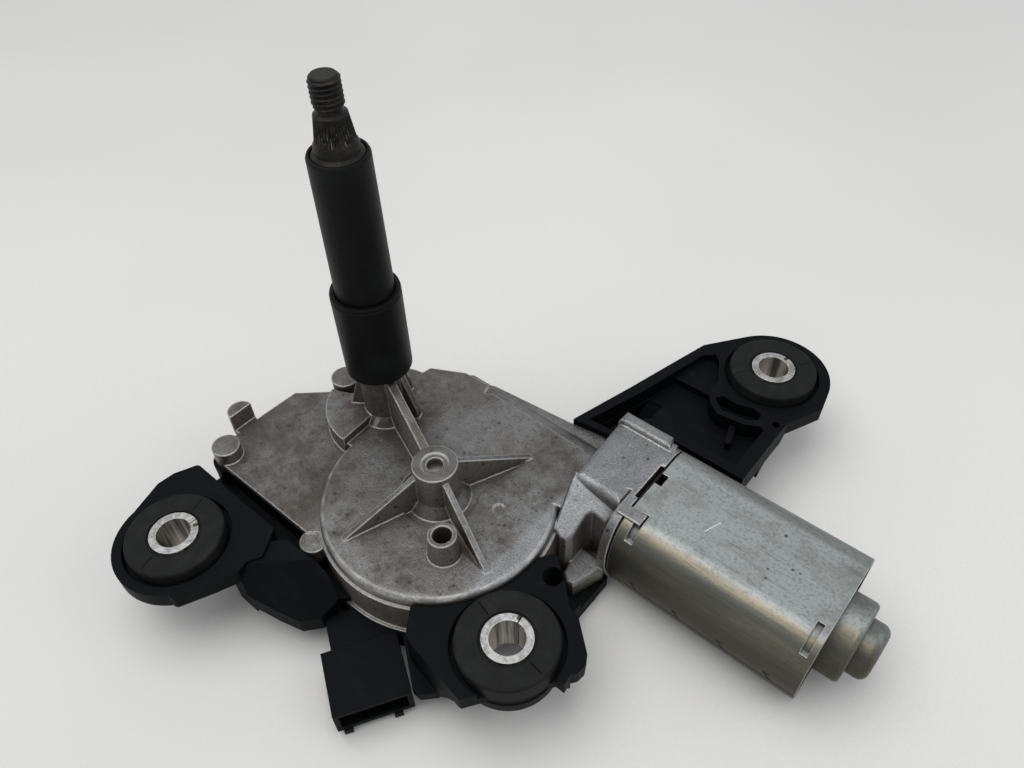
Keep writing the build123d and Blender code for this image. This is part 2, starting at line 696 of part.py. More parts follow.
with BuildPart() as bracket:
    # tray under the gears: low all round the wheel, high under the low plate
    post(WHEEL_X, WHEEL_Y, 0, SPLIT_Z, WALL_R)
    slab(TRAY_BACK, 0, SPLIT_Z)
    slab(TRAY_LEFT, 0, CASE_Z)
    post(0, 0, 0, CASE_Z, 19.0)
    post(REAR_POST_X, REAR_POST_Y, 0, CASE_Z, REAR_POST_R)
    # left arm with the shelf that joins it to the tray
    slab(LEFT_ARM, 3.0, ARM_Z, corner=1.5)
    slab(SHELF, 2.0, SHELF_Z)
    post(LEFT_X, LEFT_Y, RING_LOW_Z, ARM_Z, 18.4)
    prism(
        facing_x(-40.0),
        [(-95.0, 1.0), (-95.0, RING_LOW_Z), (-71.0, RING_LOW_Z), (-64.0, 1.0)],
        40.0,
        Mode.SUBTRACT,
    )
    prism(
        facing_x(-1.0),
        [(-95.0, 1.0), (-95.0, RING_LOW_Z), (-69.5, RING_LOW_Z), (-69.5, 1.0)],
        15.0,
        Mode.SUBTRACT,
    )
    add(ramp.part)
    slab(LEFT_ARM_HOLLOW, 1.0, ARM_Z - ARM_SKIN - 2.0, Mode.SUBTRACT)
    slab(SHELF_HOLLOW, 1.0, SHELF_Z - ARM_SKIN, Mode.SUBTRACT)
    # front arm: plate round the ring, a deep root beside the connector and a heel beside the motor
    slab(FRONT_ARM, RING_LOW_Z, ARM_Z, corner=1.0)
    post(FRONT_X, FRONT_Y, RING_LOW_Z, ARM_Z, 18.0)
    slab(FRONT_ROOT, 8.0, RING_LOW_Z)
    prism(
        facing_front(-40.0),
        [(70.0, 5.0), (72.0, 8.0), (78.2, 17.5), (81.0, RING_LOW_Z), (90.0, RING_LOW_Z), (90.0, 5.0)],
        30.0,
        Mode.SUBTRACT,
    )
    slab(FRONT_HEEL, SPLIT_Z, RING_LOW_Z)
    slab(FRONT_OPEN, 0, ARM_Z + 1, Mode.SUBTRACT)
    slab([(95.8, -33.6), (97.8, -36.0), (100.2, -33.2), (98.2, -31.4)], 14.0, RING_LOW_Z + 0.5)
    post(FRONT_X, FRONT_Y, RING_LOW_Z, RING_WEB_Z, RUBBER_R - 0.3)
    slab(
        [(53.1, -44.0), (53.1, -49.3), (66.6, -59.0), (69.4, -59.2), (73.0, -55.5), (70.0, -44.0)],
        8.0,
        11.5,
    )
    slab(
        [(56.0, -46.0), (64.0, -46.0), (80.0, -30.0), (86.0, -12.0), (76.0, -9.0), (66.0, -14.0)],
        0,
        SPLIT_Z,
    )
    slab([(60.0, -40.0), (86.0, -12.0), (86.0, 5.5), (76.0, 7.5), (66.0, 11.5), (60.0, 10.0)], 0, SPLIT_Z)
    # rear arm: an open channel with ribs that ends in the ring
    slab(REAR_ARM, 2.0, ARM_Z)
    post(REAR_X, REAR_Y, RING_LOW_Z, ARM_Z, 19.2)
    prism(
        facing_x(40.0),
        [
            (120.0, 1.0),
            (120.0, RING_LOW_Z),
            (76.0, RING_LOW_Z),
            (74.0, 17.5),
            (64.0, 17.5),
            (47.0, 1.0),
        ],
        80.0,
        Mode.SUBTRACT,
    )
    slab([(68.0, 46.0), (68.0, 60.0), (120.0, 60.0), (120.0, 46.0)], 1.0, 17.5, Mode.SUBTRACT)
    add(rear_room.part, mode=Mode.SUBTRACT)
    slab(REAR_POCKET, 21.2, ARM_Z + 1, Mode.SUBTRACT)
    wall([(91.0, 66.5), (93.0, 60.0)], 19.0, 23.0, 2.0)
    post(102.3, 73.2, 22.0, ARM_Z + 1, 1.3, Mode.SUBTRACT)
    # inside of the tray
    post(WHEEL_X, WHEEL_Y, FLOOR_Z, SPLIT_Z + 1, WALL_R - 2.5, Mode.SUBTRACT)
    slab(TRAY_BACK_INNER, FLOOR_Z, SPLIT_Z + 1, Mode.SUBTRACT)
    slab(TRAY_LEFT_INNER, FLOOR_Z, CASE_Z + 1, Mode.SUBTRACT)
    post(0, 0, FLOOR_Z, CASE_Z + 1, 16.5, Mode.SUBTRACT)
    post(REAR_POST_X, REAR_POST_Y, FLOOR_Z, CASE_Z + 1, REAR_POST_R - 1.9, Mode.SUBTRACT)
    # columns for the screws, standing up from the floor to the housing
    post(*LONG_SCREWS[0][:2], 0, CASE_Z, 5.6)
    post(*LONG_SCREWS[1][:2], 0, LUG_Z, 4.6)
    post(*SHORT_SCREWS[0][:2], 0, 5.0, 5.4)
    post(*SHORT_SCREWS[1][:2], 0, SPLIT_Z, 4.4)
    # room for the dome, the worm case, the motor block and the lug over the front screw
    post(LUG_X, LUG_Y, LUG_Z, CASE_Z + 1, LUG_R, Mode.SUBTRACT)
    post(WHEEL_X, WHEEL_Y, PASSAGE_Z, ARM_Z + 1, WALL_R, Mode.SUBTRACT)
    post(WHEEL_X, WHEEL_Y, SPLIT_Z, PASSAGE_Z, WALL_R + 1.0, Mode.SUBTRACT)
    slab(WORM_CASE, SPLIT_Z, ARM_Z + 1, Mode.SUBTRACT)
    slab(UPPER_PLATE, SPLIT_Z, CASE_Z + 1, Mode.SUBTRACT)
    slab([(65.0, 46.6), (65.0, 12.0), (76.0, 7.9), (90.0, 4.0), (90.0, 46.6)], -1, 40.0, Mode.SUBTRACT)
    slab([(73.0, 8.0), (73.0, -2.7), (75.5, -9.0), (90.0, -9.0), (90.0, 8.0)], 5.0, 40.0, Mode.SUBTRACT)
    for x, y, seat in LONG_SCREWS:
        post(x, y, -1, CASE_Z + 1, SCREW_R + 0.2, Mode.SUBTRACT)
        post(x, y, -1, seat, SCREW_HEAD_R + 0.3, Mode.SUBTRACT)
    for x, y, seat in SHORT_SCREWS:
        post(x, y, -1, SPLIT_Z + 1, SCREW_R + 0.2, Mode.SUBTRACT)
        post(x, y, -1, seat, SCREW_HEAD_R + 0.3, Mode.SUBTRACT)
    # bores of the arms and the round hole beside the front grommet
    ring_bore(LEFT_X, LEFT_Y)
    ring_bore(FRONT_X, FRONT_Y)
    ring_bore(REAR_X, REAR_Y)
    post(80.4, -15.2, 6.0, ARM_Z + 1, 3.0, Mode.SUBTRACT)
    # way in for the connector and the studs the circuit board stands on
    with BuildSketch(level(FLOOR_Z, MOUTH_X, MOUTH_Y, MOUTH_ANGLE)) as passage:
        with Locations((-25.0, NECK_OFFSET)):
            Rectangle(24.0, NECK_WIDE)
    extrude(passage.sketch, amount=9.5, mode=Mode.SUBTRACT)
    for x, y in ((30.0, -42.0), (33.0, -29.0), (61.0, -28.0)):
        post(x, y, FLOOR_Z - 0.5, 3.5, 2.5)
save(bracket.part, "bracket_cover")


# ==== screws =====================================================================================
def screws(places, length):
    """Pan-head screws driven up from below."""
    for x, y, seat in places:
        post(x, y, seat, seat + length, SCREW_R)
        post(x, y, seat - SCREW_HEAD_H, seat, SCREW_HEAD_R)
        post(x, y, seat - SCREW_HEAD_H - 1, seat - SCREW_HEAD_H + 1.4, 1.6, Mode.SUBTRACT)


with BuildPart() as long_screws:
    screws(LONG_SCREWS, SCREW_LENGTH)
save(long_screws.part, "cover_screws")

with BuildPart() as short_screws:
    screws(SHORT_SCREWS, SHORT_LENGTH)
save(short_screws.part, "short_screws")


# ==== grommets and their metal sleeves ===========================================================
def grommet(x, y):
    """Rubber grommet gripping the web of an arm's ring."""
    post(x, y, RING_WEB_Z, RUBBER_Z, RUBBER_R)
    post(x, y, RING_LOW_Z, RING_WEB_Z, RUBBER_NECK_R)
    post(x, y, RUBBER_LOW_Z, RING_LOW_Z, RUBBER_R)


def grommet_edges(part):
    """Outer edges at the very top and bottom of a grommet."""
    levels = part.edges().filter_by(GeomType.CIRCLE).group_by(Axis.Z)
    return levels[0] + levels[-1]


def bushing(x, y):
    """Rolled metal sleeve with its butt slit."""
    post(x, y, BUSHING_LOW_Z, BUSHING_Z, BUSHING_R)
    post(x, y, BUSHING_LOW_Z - 1, BUSHING_Z + 1, BUSHING_BORE_R, Mode.SUBTRACT)


PLACES = {
    "front": (FRONT_X, FRONT_Y, 97.0),
    "left": (LEFT_X, LEFT_Y, 80.0),
    "rear": (REAR_X, REAR_Y, 5.0),
}
for name, (x, y, slit_angle) in PLACES.items():
    with BuildPart() as rubber:
        grommet(x, y)
        fillet(grommet_edges(rubber), 0.8)
        post(x, y, RUBBER_LOW_Z - 1, RUBBER_Z + 1, BUSHING_R, Mode.SUBTRACT)
        post(x, y, RUBBER_Z - 0.5, RUBBER_Z + 1, BUSHING_R + 0.8, Mode.SUBTRACT)
    save(rubber.part, f"grommet_{name}")
    with BuildPart() as sleeve:
        bushing(x, y)
        with BuildSketch(level(BUSHING_LOW_Z - 1, x, y, slit_angle)) as slit:
            with Locations((BUSHING_BORE_R + 1, 0)):
                Rectangle(5.0, 0.35)
        extrude(slit.sketch, amount=BUSHING_Z - BUSHING_LOW_Z + 2, mode=Mode.SUBTRACT)
    save(sleeve.part, f"bushing_{name}")


# ==== connector ==================================================================================
with BuildPart() as connector:
    with BuildSketch(level(SHELL_Z, MOUTH_X, MOUTH_Y, MOUTH_ANGLE)) as body:
        Rectangle(18.8, 21.6, align=(Align.MAX, Align.CENTER))
    extrude(body.sketch, amount=9.5)
    with BuildSketch(level(SHELL_Z, MOUTH_X, MOUTH_Y, MOUTH_ANGLE)) as neck:
        with Locations((-18.0, NECK_OFFSET)):
            Rectangle(12.2, NECK_WIDE, align=(Align.MAX, Align.CENTER))
    extrude(neck.sketch, amount=8.6)
    post(WHEEL_X, WHEEL_Y, SPLIT_Z, 20.0, WALL_R + 1.0, Mode.SUBTRACT)
    post(WHEEL_X, WHEEL_Y, 0.0, 20.0, WALL_R - 2.5, Mode.SUBTRACT)
    with BuildSketch(level(4.0, MOUTH_X, MOUTH_Y, MOUTH_ANGLE)) as socket:
        with Locations((1.0, 0)):
            Rectangle(17.5, 18.6, align=(Align.MAX, Align.CENTER))
    extrude(socket.sketch, amount=6.5, mode=Mode.SUBTRACT)
    with BuildSketch(level(0.5, MOUTH_X, MOUTH_Y, MOUTH_ANGLE)) as ribs:
        with Locations((-2.5, -8.0), (-2.5, 6.0)):
            Rectangle(6.0, 2.4)
    extrude(ribs.sketch, amount=2.2)
    with BuildSketch(level(PIN_Z, MOUTH_X, MOUTH_Y, MOUTH_ANGLE)) as holes:
        with Locations(*[(-24.0, offset) for offset in PIN_OFFSETS]):
            Rectangle(16.0, PIN_WIDE)
    extrude(holes.sketch, amount=PIN_THICK, mode=Mode.SUBTRACT)
save(connector.part, "connector_shell")

with BuildPart() as pins:
    with BuildSketch(level(PIN_Z, MOUTH_X, MOUTH_Y, MOUTH_ANGLE)) as blades:
        with Locations(*[(-21.0, offset) for offset in PIN_OFFSETS]):
            Rectangle(25.0, PIN_WIDE)
    extrude(blades.sketch, amount=PIN_THICK)
    with BuildSketch(level(5.1, MOUTH_X, MOUTH_Y, MOUTH_ANGLE)) as feet:
        with Locations(*[(-33.0, offset) for offset in PIN_OFFSETS]):
            Rectangle(1.0, PIN_WIDE)
    extrude(feet.sketch, amount=1.8)
save(pins.part, "connector_pins")


# ==== circuit board with its contact springs =====================================================
with BuildPart() as board:
    slab([(26.0, -46.0), (48.0, -46.0), (62.0, -36.0), (66.0, -24.0), (30.0, -25.0)], 3.5, 5.1)
save(board.part, "contact_board")

with BuildPart() as springs:
    for radius in (22.5, 25.5, 28.5):
        front = Plane(origin=(0, WHEEL_Y - radius - 1.0, 0), x_dir=(1, 0, 0), z_dir=(0, -1, 0))
        with BuildSketch(front) as leaf:
            with BuildLine():
                Polyline(
                    (45.0, 5.1),
                    (45.0, 5.6),
                    (42.0, 5.6),
                    (37.4, 12.7),
                    (36.0, 12.7),
                    (36.0, 12.3),
                    (37.1, 12.3),
                    (41.7, 5.1),
                    close=True,
                )
            make_face()
        extrude(leaf.sketch, amount=-2.0)
save(springs.part, "contact_springs")


# ==== bushes, axle and bearing ===================================================================
with BuildPart() as lower_bush:
    post(0, 0, 22.2, LOWER_BUSH_Z, BUSH_R)
    post(0, 0, 21.0, LOWER_BUSH_Z + 1, SPINDLE_R + RUN_GAP, Mode.SUBTRACT)
save(lower_bush.part, "spindle_bush_lower")

with BuildPart() as upper_bush:
    post(0, 0, UPPER_BUSH_Z, STEM_TOP_Z - 0.2, BUSH_R)
    post(0, 0, UPPER_BUSH_Z - 1, STEM_TOP_Z + 1, SPINDLE_R + RUN_GAP, Mode.SUBTRACT)
save(upper_bush.part, "spindle_bush_upper")

with BuildPart() as axle:
    post(WHEEL_X, WHEEL_Y, AXLE_LOW_Z, AXLE_TOP_Z, AXLE_R)
    post(WHEEL_X, WHEEL_Y, CLIP_Z, CLIP_Z + CLIP_THICK, AXLE_R + 1, Mode.SUBTRACT)
    post(WHEEL_X, WHEEL_Y, CLIP_Z - 0.1, CLIP_Z + CLIP_THICK + 0.1, AXLE_R - 0.5)
save(axle.part, "wheel_axle")

with BuildPart() as axle_clip:
    post(WHEEL_X, WHEEL_Y, CLIP_Z, CLIP_Z + CLIP_THICK, 5.2)
    post(WHEEL_X, WHEEL_Y, 12.0, 14.0, AXLE_R - 0.5, Mode.SUBTRACT)
    with Locations((WHEEL_X, WHEEL_Y, CLIP_Z)):
        Box(3.0, 8.0, 4.0, align=(Align.CENTER, Align.MAX, Align.CENTER), mode=Mode.SUBTRACT)
save(axle_clip.part, "axle_clip")

with BuildPart() as bearing:
    barrel(BEARING_X, BEARING_X + BEARING_WIDTH, BEARING_R)
    barrel(BEARING_X - 1, BEARING_X + BEARING_WIDTH + 1, 9.0, Mode.SUBTRACT)
    with BuildSketch(across(BEARING_X)) as inner:
        Circle(6.0)
        Circle(SHAFT_R + RUN_GAP, mode=Mode.SUBTRACT)
    extrude(inner.sketch, amount=BEARING_WIDTH)
    with BuildSketch(across(BEARING_X + 1.0)) as cage:
        Circle(8.95)
        Circle(6.05, mode=Mode.SUBTRACT)
    extrude(cage.sketch, amount=BEARING_WIDTH - 2)
save(bearing.part, "ball_bearing")

with BuildPart() as tip_bush:
    barrel(16.5, 22.0, TUNNEL_R)
    barrel(16.0, 25.0, JOURNAL_R + RUN_GAP, Mode.SUBTRACT)
save(tip_bush.part, "tip_bush")

with BuildPart() as thrust_pad:
    barrel(13.0, 16.4, TUNNEL_R)
save(thrust_pad.part, "thrust_pad")


# ==== motor can, its seal and end cap ============================================================
with BuildPart() as can:
    yoke(CAN_X, CAN_END_X, 0)
    yoke(CAN_X - 1, CAN_END_X + 1, CAN_WALL, Mode.SUBTRACT)
    # slots left by the crimps that hold the block at one end and the cap at the other
    for start, end in ((90.0, 92.4), (143.2, 145.2)):
        slab([(start, 13.8), (end, 13.8), (end, 4.8), (start, 4.8)], 28.8, 40.0, Mode.SUBTRACT)
        slab([(start, 34.4), (end, 34.4), (end, 43.4), (start, 43.4)], -4.0, 6.2, Mode.SUBTRACT)
    slab([(86.0, 24.6), (89.2, 24.6), (89.2, 29.0), (86.0, 29.0)], 25.0, 40.0, Mode.SUBTRACT)
save(can.part, "motor_can")

with BuildPart() as can_seal:
    yoke(CAN_X - 0.8, CAN_X, 0.35)
    yoke(CAN_X - 1, CAN_X + 1, CAN_WALL, Mode.SUBTRACT)
save(can_seal.part, "can_seal")

TAIL = Plane(origin=(0, AXIS_Y, AXIS_Z), x_dir=(1, 0, 0), z_dir=(0, -1, 0))
with BuildPart() as cap:
    yoke(143.0, 146.4, CAN_WALL)
    with BuildSketch(TAIL) as profile:
        with BuildLine():
            Polyline((144.0, 0.0), (144.0, 12.2), (152.6, 12.2))
            RadiusArc((152.6, 12.2), (154.0, 10.8), 1.4)
            Polyline((154.0, 10.8), (154.0, 9.3), (153.6, 9.0), (153.6, 8.3), (157.0, 8.3))
            RadiusArc((157.0, 8.3), (159.5, 5.6), 2.7)
            Polyline((159.5, 5.6), (159.5, 0.0), (144.0, 0.0))
        make_face()
    revolve(profile.sketch, axis=Axis((0, AXIS_Y, AXIS_Z), (1, 0, 0)))
    barrel(142.0, 151.5, 10.9, Mode.SUBTRACT)
    barrel(151.0, 158.2, 6.0, Mode.SUBTRACT)
save(cap.part, "end_cap")

with BuildPart() as tail_bush:
    barrel(152.0, 158.2, 6.0)
    barrel(151.0, 159.0, JOURNAL_R + RUN_GAP, Mode.SUBTRACT)
save(tail_bush.part, "tail_bush")

with BuildPart() as magnets:
    for side in (0.0, 180.0):
        with BuildSketch(across(102.0)) as arc:
            with BuildLine():
                for radius in (MAGNET_R, MAGNET_OUTER_R):
                    ThreePointArc(
                        polar(0, 0, radius, side - MAGNET_HALF_ARC),
                        polar(0, 0, radius, side),
                        polar(0, 0, radius, side + MAGNET_HALF_ARC),
                    )
                for end in (side - MAGNET_HALF_ARC, side + MAGNET_HALF_ARC):
                    Line(polar(0, 0, MAGNET_R, end), polar(0, 0, MAGNET_OUTER_R, end))
            make_face()
        extrude(arc.sketch, amount=36.0)
save(magnets.part, "magnets")


# ==== brush gear =================================================================================
with BuildPart() as carrier:
    yoke(93.2, 96.0, CAN_WALL + 0.3)
    barrel(92.0, 97.0, 8.6, Mode.SUBTRACT)
    for side in (1, -1):
        with BuildSketch(across(88.4)) as box:
            with Locations((side * BRUSH_OFFSET, 0)):
                Rectangle(7.0, 7.4)
        extrude(box.sketch, amount=7.6)
        with BuildSketch(across(89.6)) as bore:
            with Locations((side * BRUSH_OFFSET, 0)):
                Rectangle(9.0, 5.0)
        extrude(bore.sketch, amount=4.6, mode=Mode.SUBTRACT)
save(carrier.part, "brush_carrier")

with BuildPart() as brushes:
    for side in (1, -1):
        with BuildSketch(across(89.7)) as carbon:
            with Locations((side * (BRUSH_OFFSET - 2), 0)):
                Rectangle(6.8, 4.8)
        extrude(carbon.sketch, amount=4.4)
save(brushes.part, "brushes")

with BuildPart() as commutator_hub:
    barrel(88.0, 100.0, 5.4)
    barrel(87.0, 101.0, SHAFT_R, Mode.SUBTRACT)
save(commutator_hub.part, "commutator_hub")

COMMUTATOR_BARS = 10
with BuildPart() as bars:
    barrel(88.6, 99.0, 7.0)
    barrel(88.0, 100.0, 5.4, Mode.SUBTRACT)
    with BuildSketch(across(88.0)) as gaps:
        with PolarLocations(6.5, COMMUTATOR_BARS):
            Rectangle(4.0, 0.4)
    extrude(gaps.sketch, amount=12.0, mode=Mode.SUBTRACT)
save(bars.part, "commutator_bars")


# ==== armature ===================================================================================
with BuildPart() as shaft:
    with BuildSketch(TAIL) as profile:
        with BuildLine():
            Polyline(
                (16.6, 0.0),
                (16.6, JOURNAL_R),
                (24.3, JOURNAL_R),
                (24.3, WORM_ROOT_R),
                (50.0, WORM_ROOT_R),
                (50.0, 4.3),
                (74.0, 4.3),
                (74.0, 5.4),
                (76.8, 5.4),
                (76.8, SHAFT_R),
                (151.2, SHAFT_R),
                (151.2, JOURNAL_R),
                (157.6, JOURNAL_R),
                (157.6, 0.0),
                close=True,
            )
        make_face()
    revolve(profile.sketch, axis=Axis((0, AXIS_Y, AXIS_Z), (1, 0, 0)))
    worm_start = (WHEEL_X - 3.75 * WORM_PITCH, AXIS_Y, AXIS_Z)
    with BuildLine() as helix:
        Helix(WORM_PITCH, 7 * WORM_PITCH, WORM_ROOT_R - 0.1, center=worm_start, direction=(1, 0, 0))
    face_on = Plane(
        origin=helix.line @ 0,
        x_dir=(0, 0, 1),
        z_dir=helix.line % 0,
    )
    with BuildSketch(face_on) as thread:
        with BuildLine():
            Polyline((0.0, -1.15), (2.35, -0.29), (2.35, 0.29), (0.0, 1.15), close=True)
        make_face()
    sweep(thread.sketch, path=helix.line, is_frenet=True)
save(shaft.part, "armature_shaft")

POLES = 10
with BuildPart() as core:
    barrel(104.0, 136.0, 13.4)
    with BuildSketch(across(103.0)) as slots:
        with PolarLocations(9.6, POLES):
            Circle(1.9)
            with Locations((2.5, 0)):
                Rectangle(5.0, 1.2)
    extrude(slots.sketch, amount=34.0, mode=Mode.SUBTRACT)
    barrel(103.0, 137.0, SHAFT_R, Mode.SUBTRACT)
save(core.part, "armature_core")

with BuildPart() as windings:
    for start in (100.6, 136.0):
        barrel(start, start + 3.4, 12.2)
    fillet(windings.edges().filter_by(GeomType.CIRCLE), 1.2)
    barrel(99.0, 141.0, SHAFT_R + 1.6, Mode.SUBTRACT)
    with BuildSketch(across(102.5)) as bundles:
        with PolarLocations(9.6, POLES):
            Circle(1.85)
    extrude(bundles.sketch, amount=35.0)
save(windings.part, "armature_windings")


# ==== gear wheel =================================================================================
lead_turn = math.degrees(WORM_PITCH / (2 * math.pi * 6.0) / 33.0 * (WHEEL_HIGH - WHEEL_LOW))
with BuildPart() as wheel:
    for height, turn in ((WHEEL_LOW, -lead_turn / 2), (WHEEL_HIGH, lead_turn / 2)):
        with BuildSketch(level(height, WHEEL_X, WHEEL_Y)):
            with BuildLine():
                Polyline(
                    *gear_outline(WHEEL_TEETH, 31.75, 33.0, 34.0, 1.35, 90 + turn, 0, WHEEL_TEETH),
                    close=True,
                )
            make_face()
    loft(ruled=True)
    post(WHEEL_X, WHEEL_Y, 16.5, WHEEL_HIGH + 1, 28.6, Mode.SUBTRACT)
    post(WHEEL_X, WHEEL_Y, 16.0, 24.2, 8.0)
    for angle in range(8, 368, 60):
        near = polar(WHEEL_X, WHEEL_Y, 7.0, angle)
        far = polar(WHEEL_X, WHEEL_Y, 29.5, angle)
        wall([near, far], 16.0, 20.0, 1.8)
    post(PIN_X, PIN_Y, 16.0, 19.0, 5.0)
    post(WHEEL_X, WHEEL_Y, WHEEL_LOW - 1, 25.0, AXLE_R + RUN_GAP, Mode.SUBTRACT)
    post(PIN_X, PIN_Y, WHEEL_LOW - 1, 18.0, AXLE_R, Mode.SUBTRACT)
save(wheel.part, "worm_wheel")

with BuildPart() as crank_pin:
    post(PIN_X, PIN_Y, LINK_HIGH + 0.3, 18.0, AXLE_R)
save(crank_pin.part, "crank_pin")

with BuildPart() as contact_disc:
    post(WHEEL_X, WHEEL_Y, 12.9, WHEEL_LOW, 31.0)
    post(WHEEL_X, WHEEL_Y, 12.0, WHEEL_LOW + 1, 21.0, Mode.SUBTRACT)
    for angle in (30.0, 95.0):
        start = polar(WHEEL_X, WHEEL_Y, 23.6, angle)
        end = polar(WHEEL_X, WHEEL_Y, 23.6, angle + 25)
        wall([start, end], 12.0, WHEEL_LOW + 1, 1.2, Mode.SUBTRACT)
save(contact_disc.part, "contact_disc")


# ==== linkage ====================================================================================
with BuildPart() as rocker:
    with BuildSketch(level(4.5, 0, 0, ROCKER_ANGLE)) as plate:
        Circle(8.0)
        with Locations((ROCKER_R, 0)):
            Circle(5.0)
        with BuildLine():
            Polyline((0, 8.0), (ROCKER_R, 5.0), (ROCKER_R, -5.0), (0, -8.0), close=True)
        make_face()
    extrude(plate.sketch, amount=2.0)
    post(0, 0, 4.0, 7.0, SPINDLE_R + RUN_GAP, Mode.SUBTRACT)
    post(PIVOT_X, PIVOT_Y, 4.0, 7.0, 2.5, Mode.SUBTRACT)
save(rocker.part, "rocker_link")

with BuildPart() as rocker_pin:
    post(PIVOT_X, PIVOT_Y, 4.5, LINK_HIGH, 2.5)
    post(PIVOT_X, PIVOT_Y, 3.8, 4.5, 3.8)
save(rocker_pin.part, "rocker_pin")

to_spindle = ROCKER_ANGLE + 180.0
tooth_step = 360.0 / SECTOR_TEETH
link_length = math.dist((PIVOT_X, PIVOT_Y), (PIN_X, PIN_Y))
with BuildPart() as sector:
    with BuildSketch(level(LINK_LOW, PIVOT_X, PIVOT_Y)) as teeth:
        with BuildLine():
            Polyline(
                (0, 0),
                *gear_outline(SECTOR_TEETH, 9.9, SECTOR_GEAR_R, 11.8, 1.25, to_spindle, -1, 4),
                close=True,
            )
        make_face()
    extrude(teeth.sketch, amount=LINK_HIGH - LINK_LOW)
    with BuildSketch(level(LINK_LOW, PIVOT_X, PIVOT_Y, LINK_ANGLE)) as arm:
        Circle(5.2)
        with Locations((link_length, 0)):
            Circle(5.6)
        with BuildLine():
            Polyline(
                (0, 1.8),
                (ROCKER_R + 4, 1.8),
                (link_length, 4.6),
                (link_length, -4.6),
                (ROCKER_R, -5.2),
                (0, -5.2),
                close=True,
            )
        make_face()
    extrude(arm.sketch, amount=LINK_HIGH - LINK_LOW)
    post(PIVOT_X, PIVOT_Y, 6.0, 12.0, 2.5 + RUN_GAP, Mode.SUBTRACT)
    post(PIN_X, PIN_Y, 6.0, 12.0, 3.2, Mode.SUBTRACT)
save(sector.part, "sector_link")

with BuildPart() as pinion:
    with BuildSketch(level(6.7)) as teeth:
        with BuildLine():
            Polyline(
                *gear_outline(
                    PINION_TEETH,
                    8.9,
                    10.0,
                    10.8,
                    1.25,
                    ROCKER_ANGLE + 180.0 / PINION_TEETH,
                    0,
                    PINION_TEETH,
                ),
                close=True,
            )
        make_face()
    extrude(teeth.sketch, amount=4.6)
    post(0, 0, 6.0, 12.0, SPINDLE_R, Mode.SUBTRACT)
save(pinion.part, "spindle_pinion")


# ==== spindle, its sleeve and collar =============================================================
UPRIGHT = Plane(origin=(0, 0, 0), x_dir=(1, 0, 0), z_dir=(0, -1, 0))
with BuildPart() as spindle:
    with BuildSketch(UPRIGHT) as profile:
        with BuildLine():
            Polyline(
                (0.0, 3.0),
                (4.6, 3.0),
                (SPINDLE_R, 3.4),
                (SPINDLE_R, 121.0),
                (5.8, 122.2),
                (5.8, 124.2),
                (5.3, 125.0),
                (4.3, 132.0),
                (3.5, 132.6),
                (3.5, 133.6),
                (4.0, 134.2),
                (4.0, TIP_Z - 0.9),
                (3.1, TIP_Z),
                (0.0, TIP_Z),
                close=True,
            )
        make_face()
    revolve(profile.sketch, axis=Axis.Z)
    with BuildSketch(level(3.7)) as groove:
        Circle(SPINDLE_R + 1)
        Circle(4.5, mode=Mode.SUBTRACT)
    extrude(groove.sketch, amount=0.7, mode=Mode.SUBTRACT)
save(spindle.part, "output_spindle")

with BuildPart() as spindle_clip:
    post(0, 0, 3.7, 4.4, 6.8)
    post(0, 0, 3.0, 5.0, 4.5, Mode.SUBTRACT)
    slab([(-2.0, 0.0), (-2.0, 9.0), (2.0, 9.0), (2.0, 0.0)], 3.0, 5.0, Mode.SUBTRACT)
save(spindle_clip.part, "spindle_clip")

with BuildPart() as washer:
    post(0, 0, STEM_TOP_Z + 0.1, STEM_TOP_Z + 0.9, 6.3)
    post(0, 0, STEM_TOP_Z, STEM_TOP_Z + 2, SPINDLE_R, Mode.SUBTRACT)
save(washer.part, "spindle_washer")

with BuildPart() as sleeve_tube:
    with BuildSketch(UPRIGHT) as profile:
        with BuildLine():
            Polyline(
                (STEM_R + 0.05, 52.0),
                (8.72, 52.0),
                (8.72, 66.0),
                (8.6, 78.0),
                (8.24, 120.8),
                (7.9, SLEEVE_TOP_Z),
                (7.3, SLEEVE_TOP_Z),
                (7.3, 120.4),
                (6.6, 120.4),
                (6.6, 119.6),
                (STEM_TOP_R + 0.05, 119.2),
                (STEM_TOP_R + 0.05, 118.0),
                close=True,
            )
        make_face()
    revolve(profile.sketch, axis=Axis.Z)
save(sleeve_tube.part, "spindle_sleeve")

with BuildPart() as collar:
    with BuildSketch(UPRIGHT) as profile:
        with BuildLine():
            Polyline(
                (7.3, COLLAR_Z),
                (9.9, COLLAR_Z),
                (10.3, COLLAR_Z + 0.4),
                (COLLAR_R, 76.6),
                (10.05, 76.8),
                (10.05, 77.1),
                (COLLAR_R - 0.03, 77.3),
                (10.1, COLLAR_TOP_Z),
                (8.9, COLLAR_TOP_Z),
                (8.8, 66.0),
                (8.8, 51.6),
                (7.3, 51.6),
                close=True,
            )
        make_face()
    revolve(profile.sketch, axis=Axis.Z)
save(collar.part, "stem_collar")


# ==== earth clip between block and can ===========================================================
with BuildPart() as clip:
    slab([(84.0, 9.2), (91.9, 9.2), (91.9, 13.2), (84.0, 13.2)], 33.0, 33.5)
    slab([(91.4, 9.2), (91.9, 9.2), (91.9, 13.2), (91.4, 13.2)], 31.8, 33.2)
save(clip.part, "earth_clip")
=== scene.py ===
import math

import bmesh
import bpy
from bpy.props import FloatProperty, FloatVectorProperty, IntProperty, PointerProperty
from mathutils import Matrix, Vector


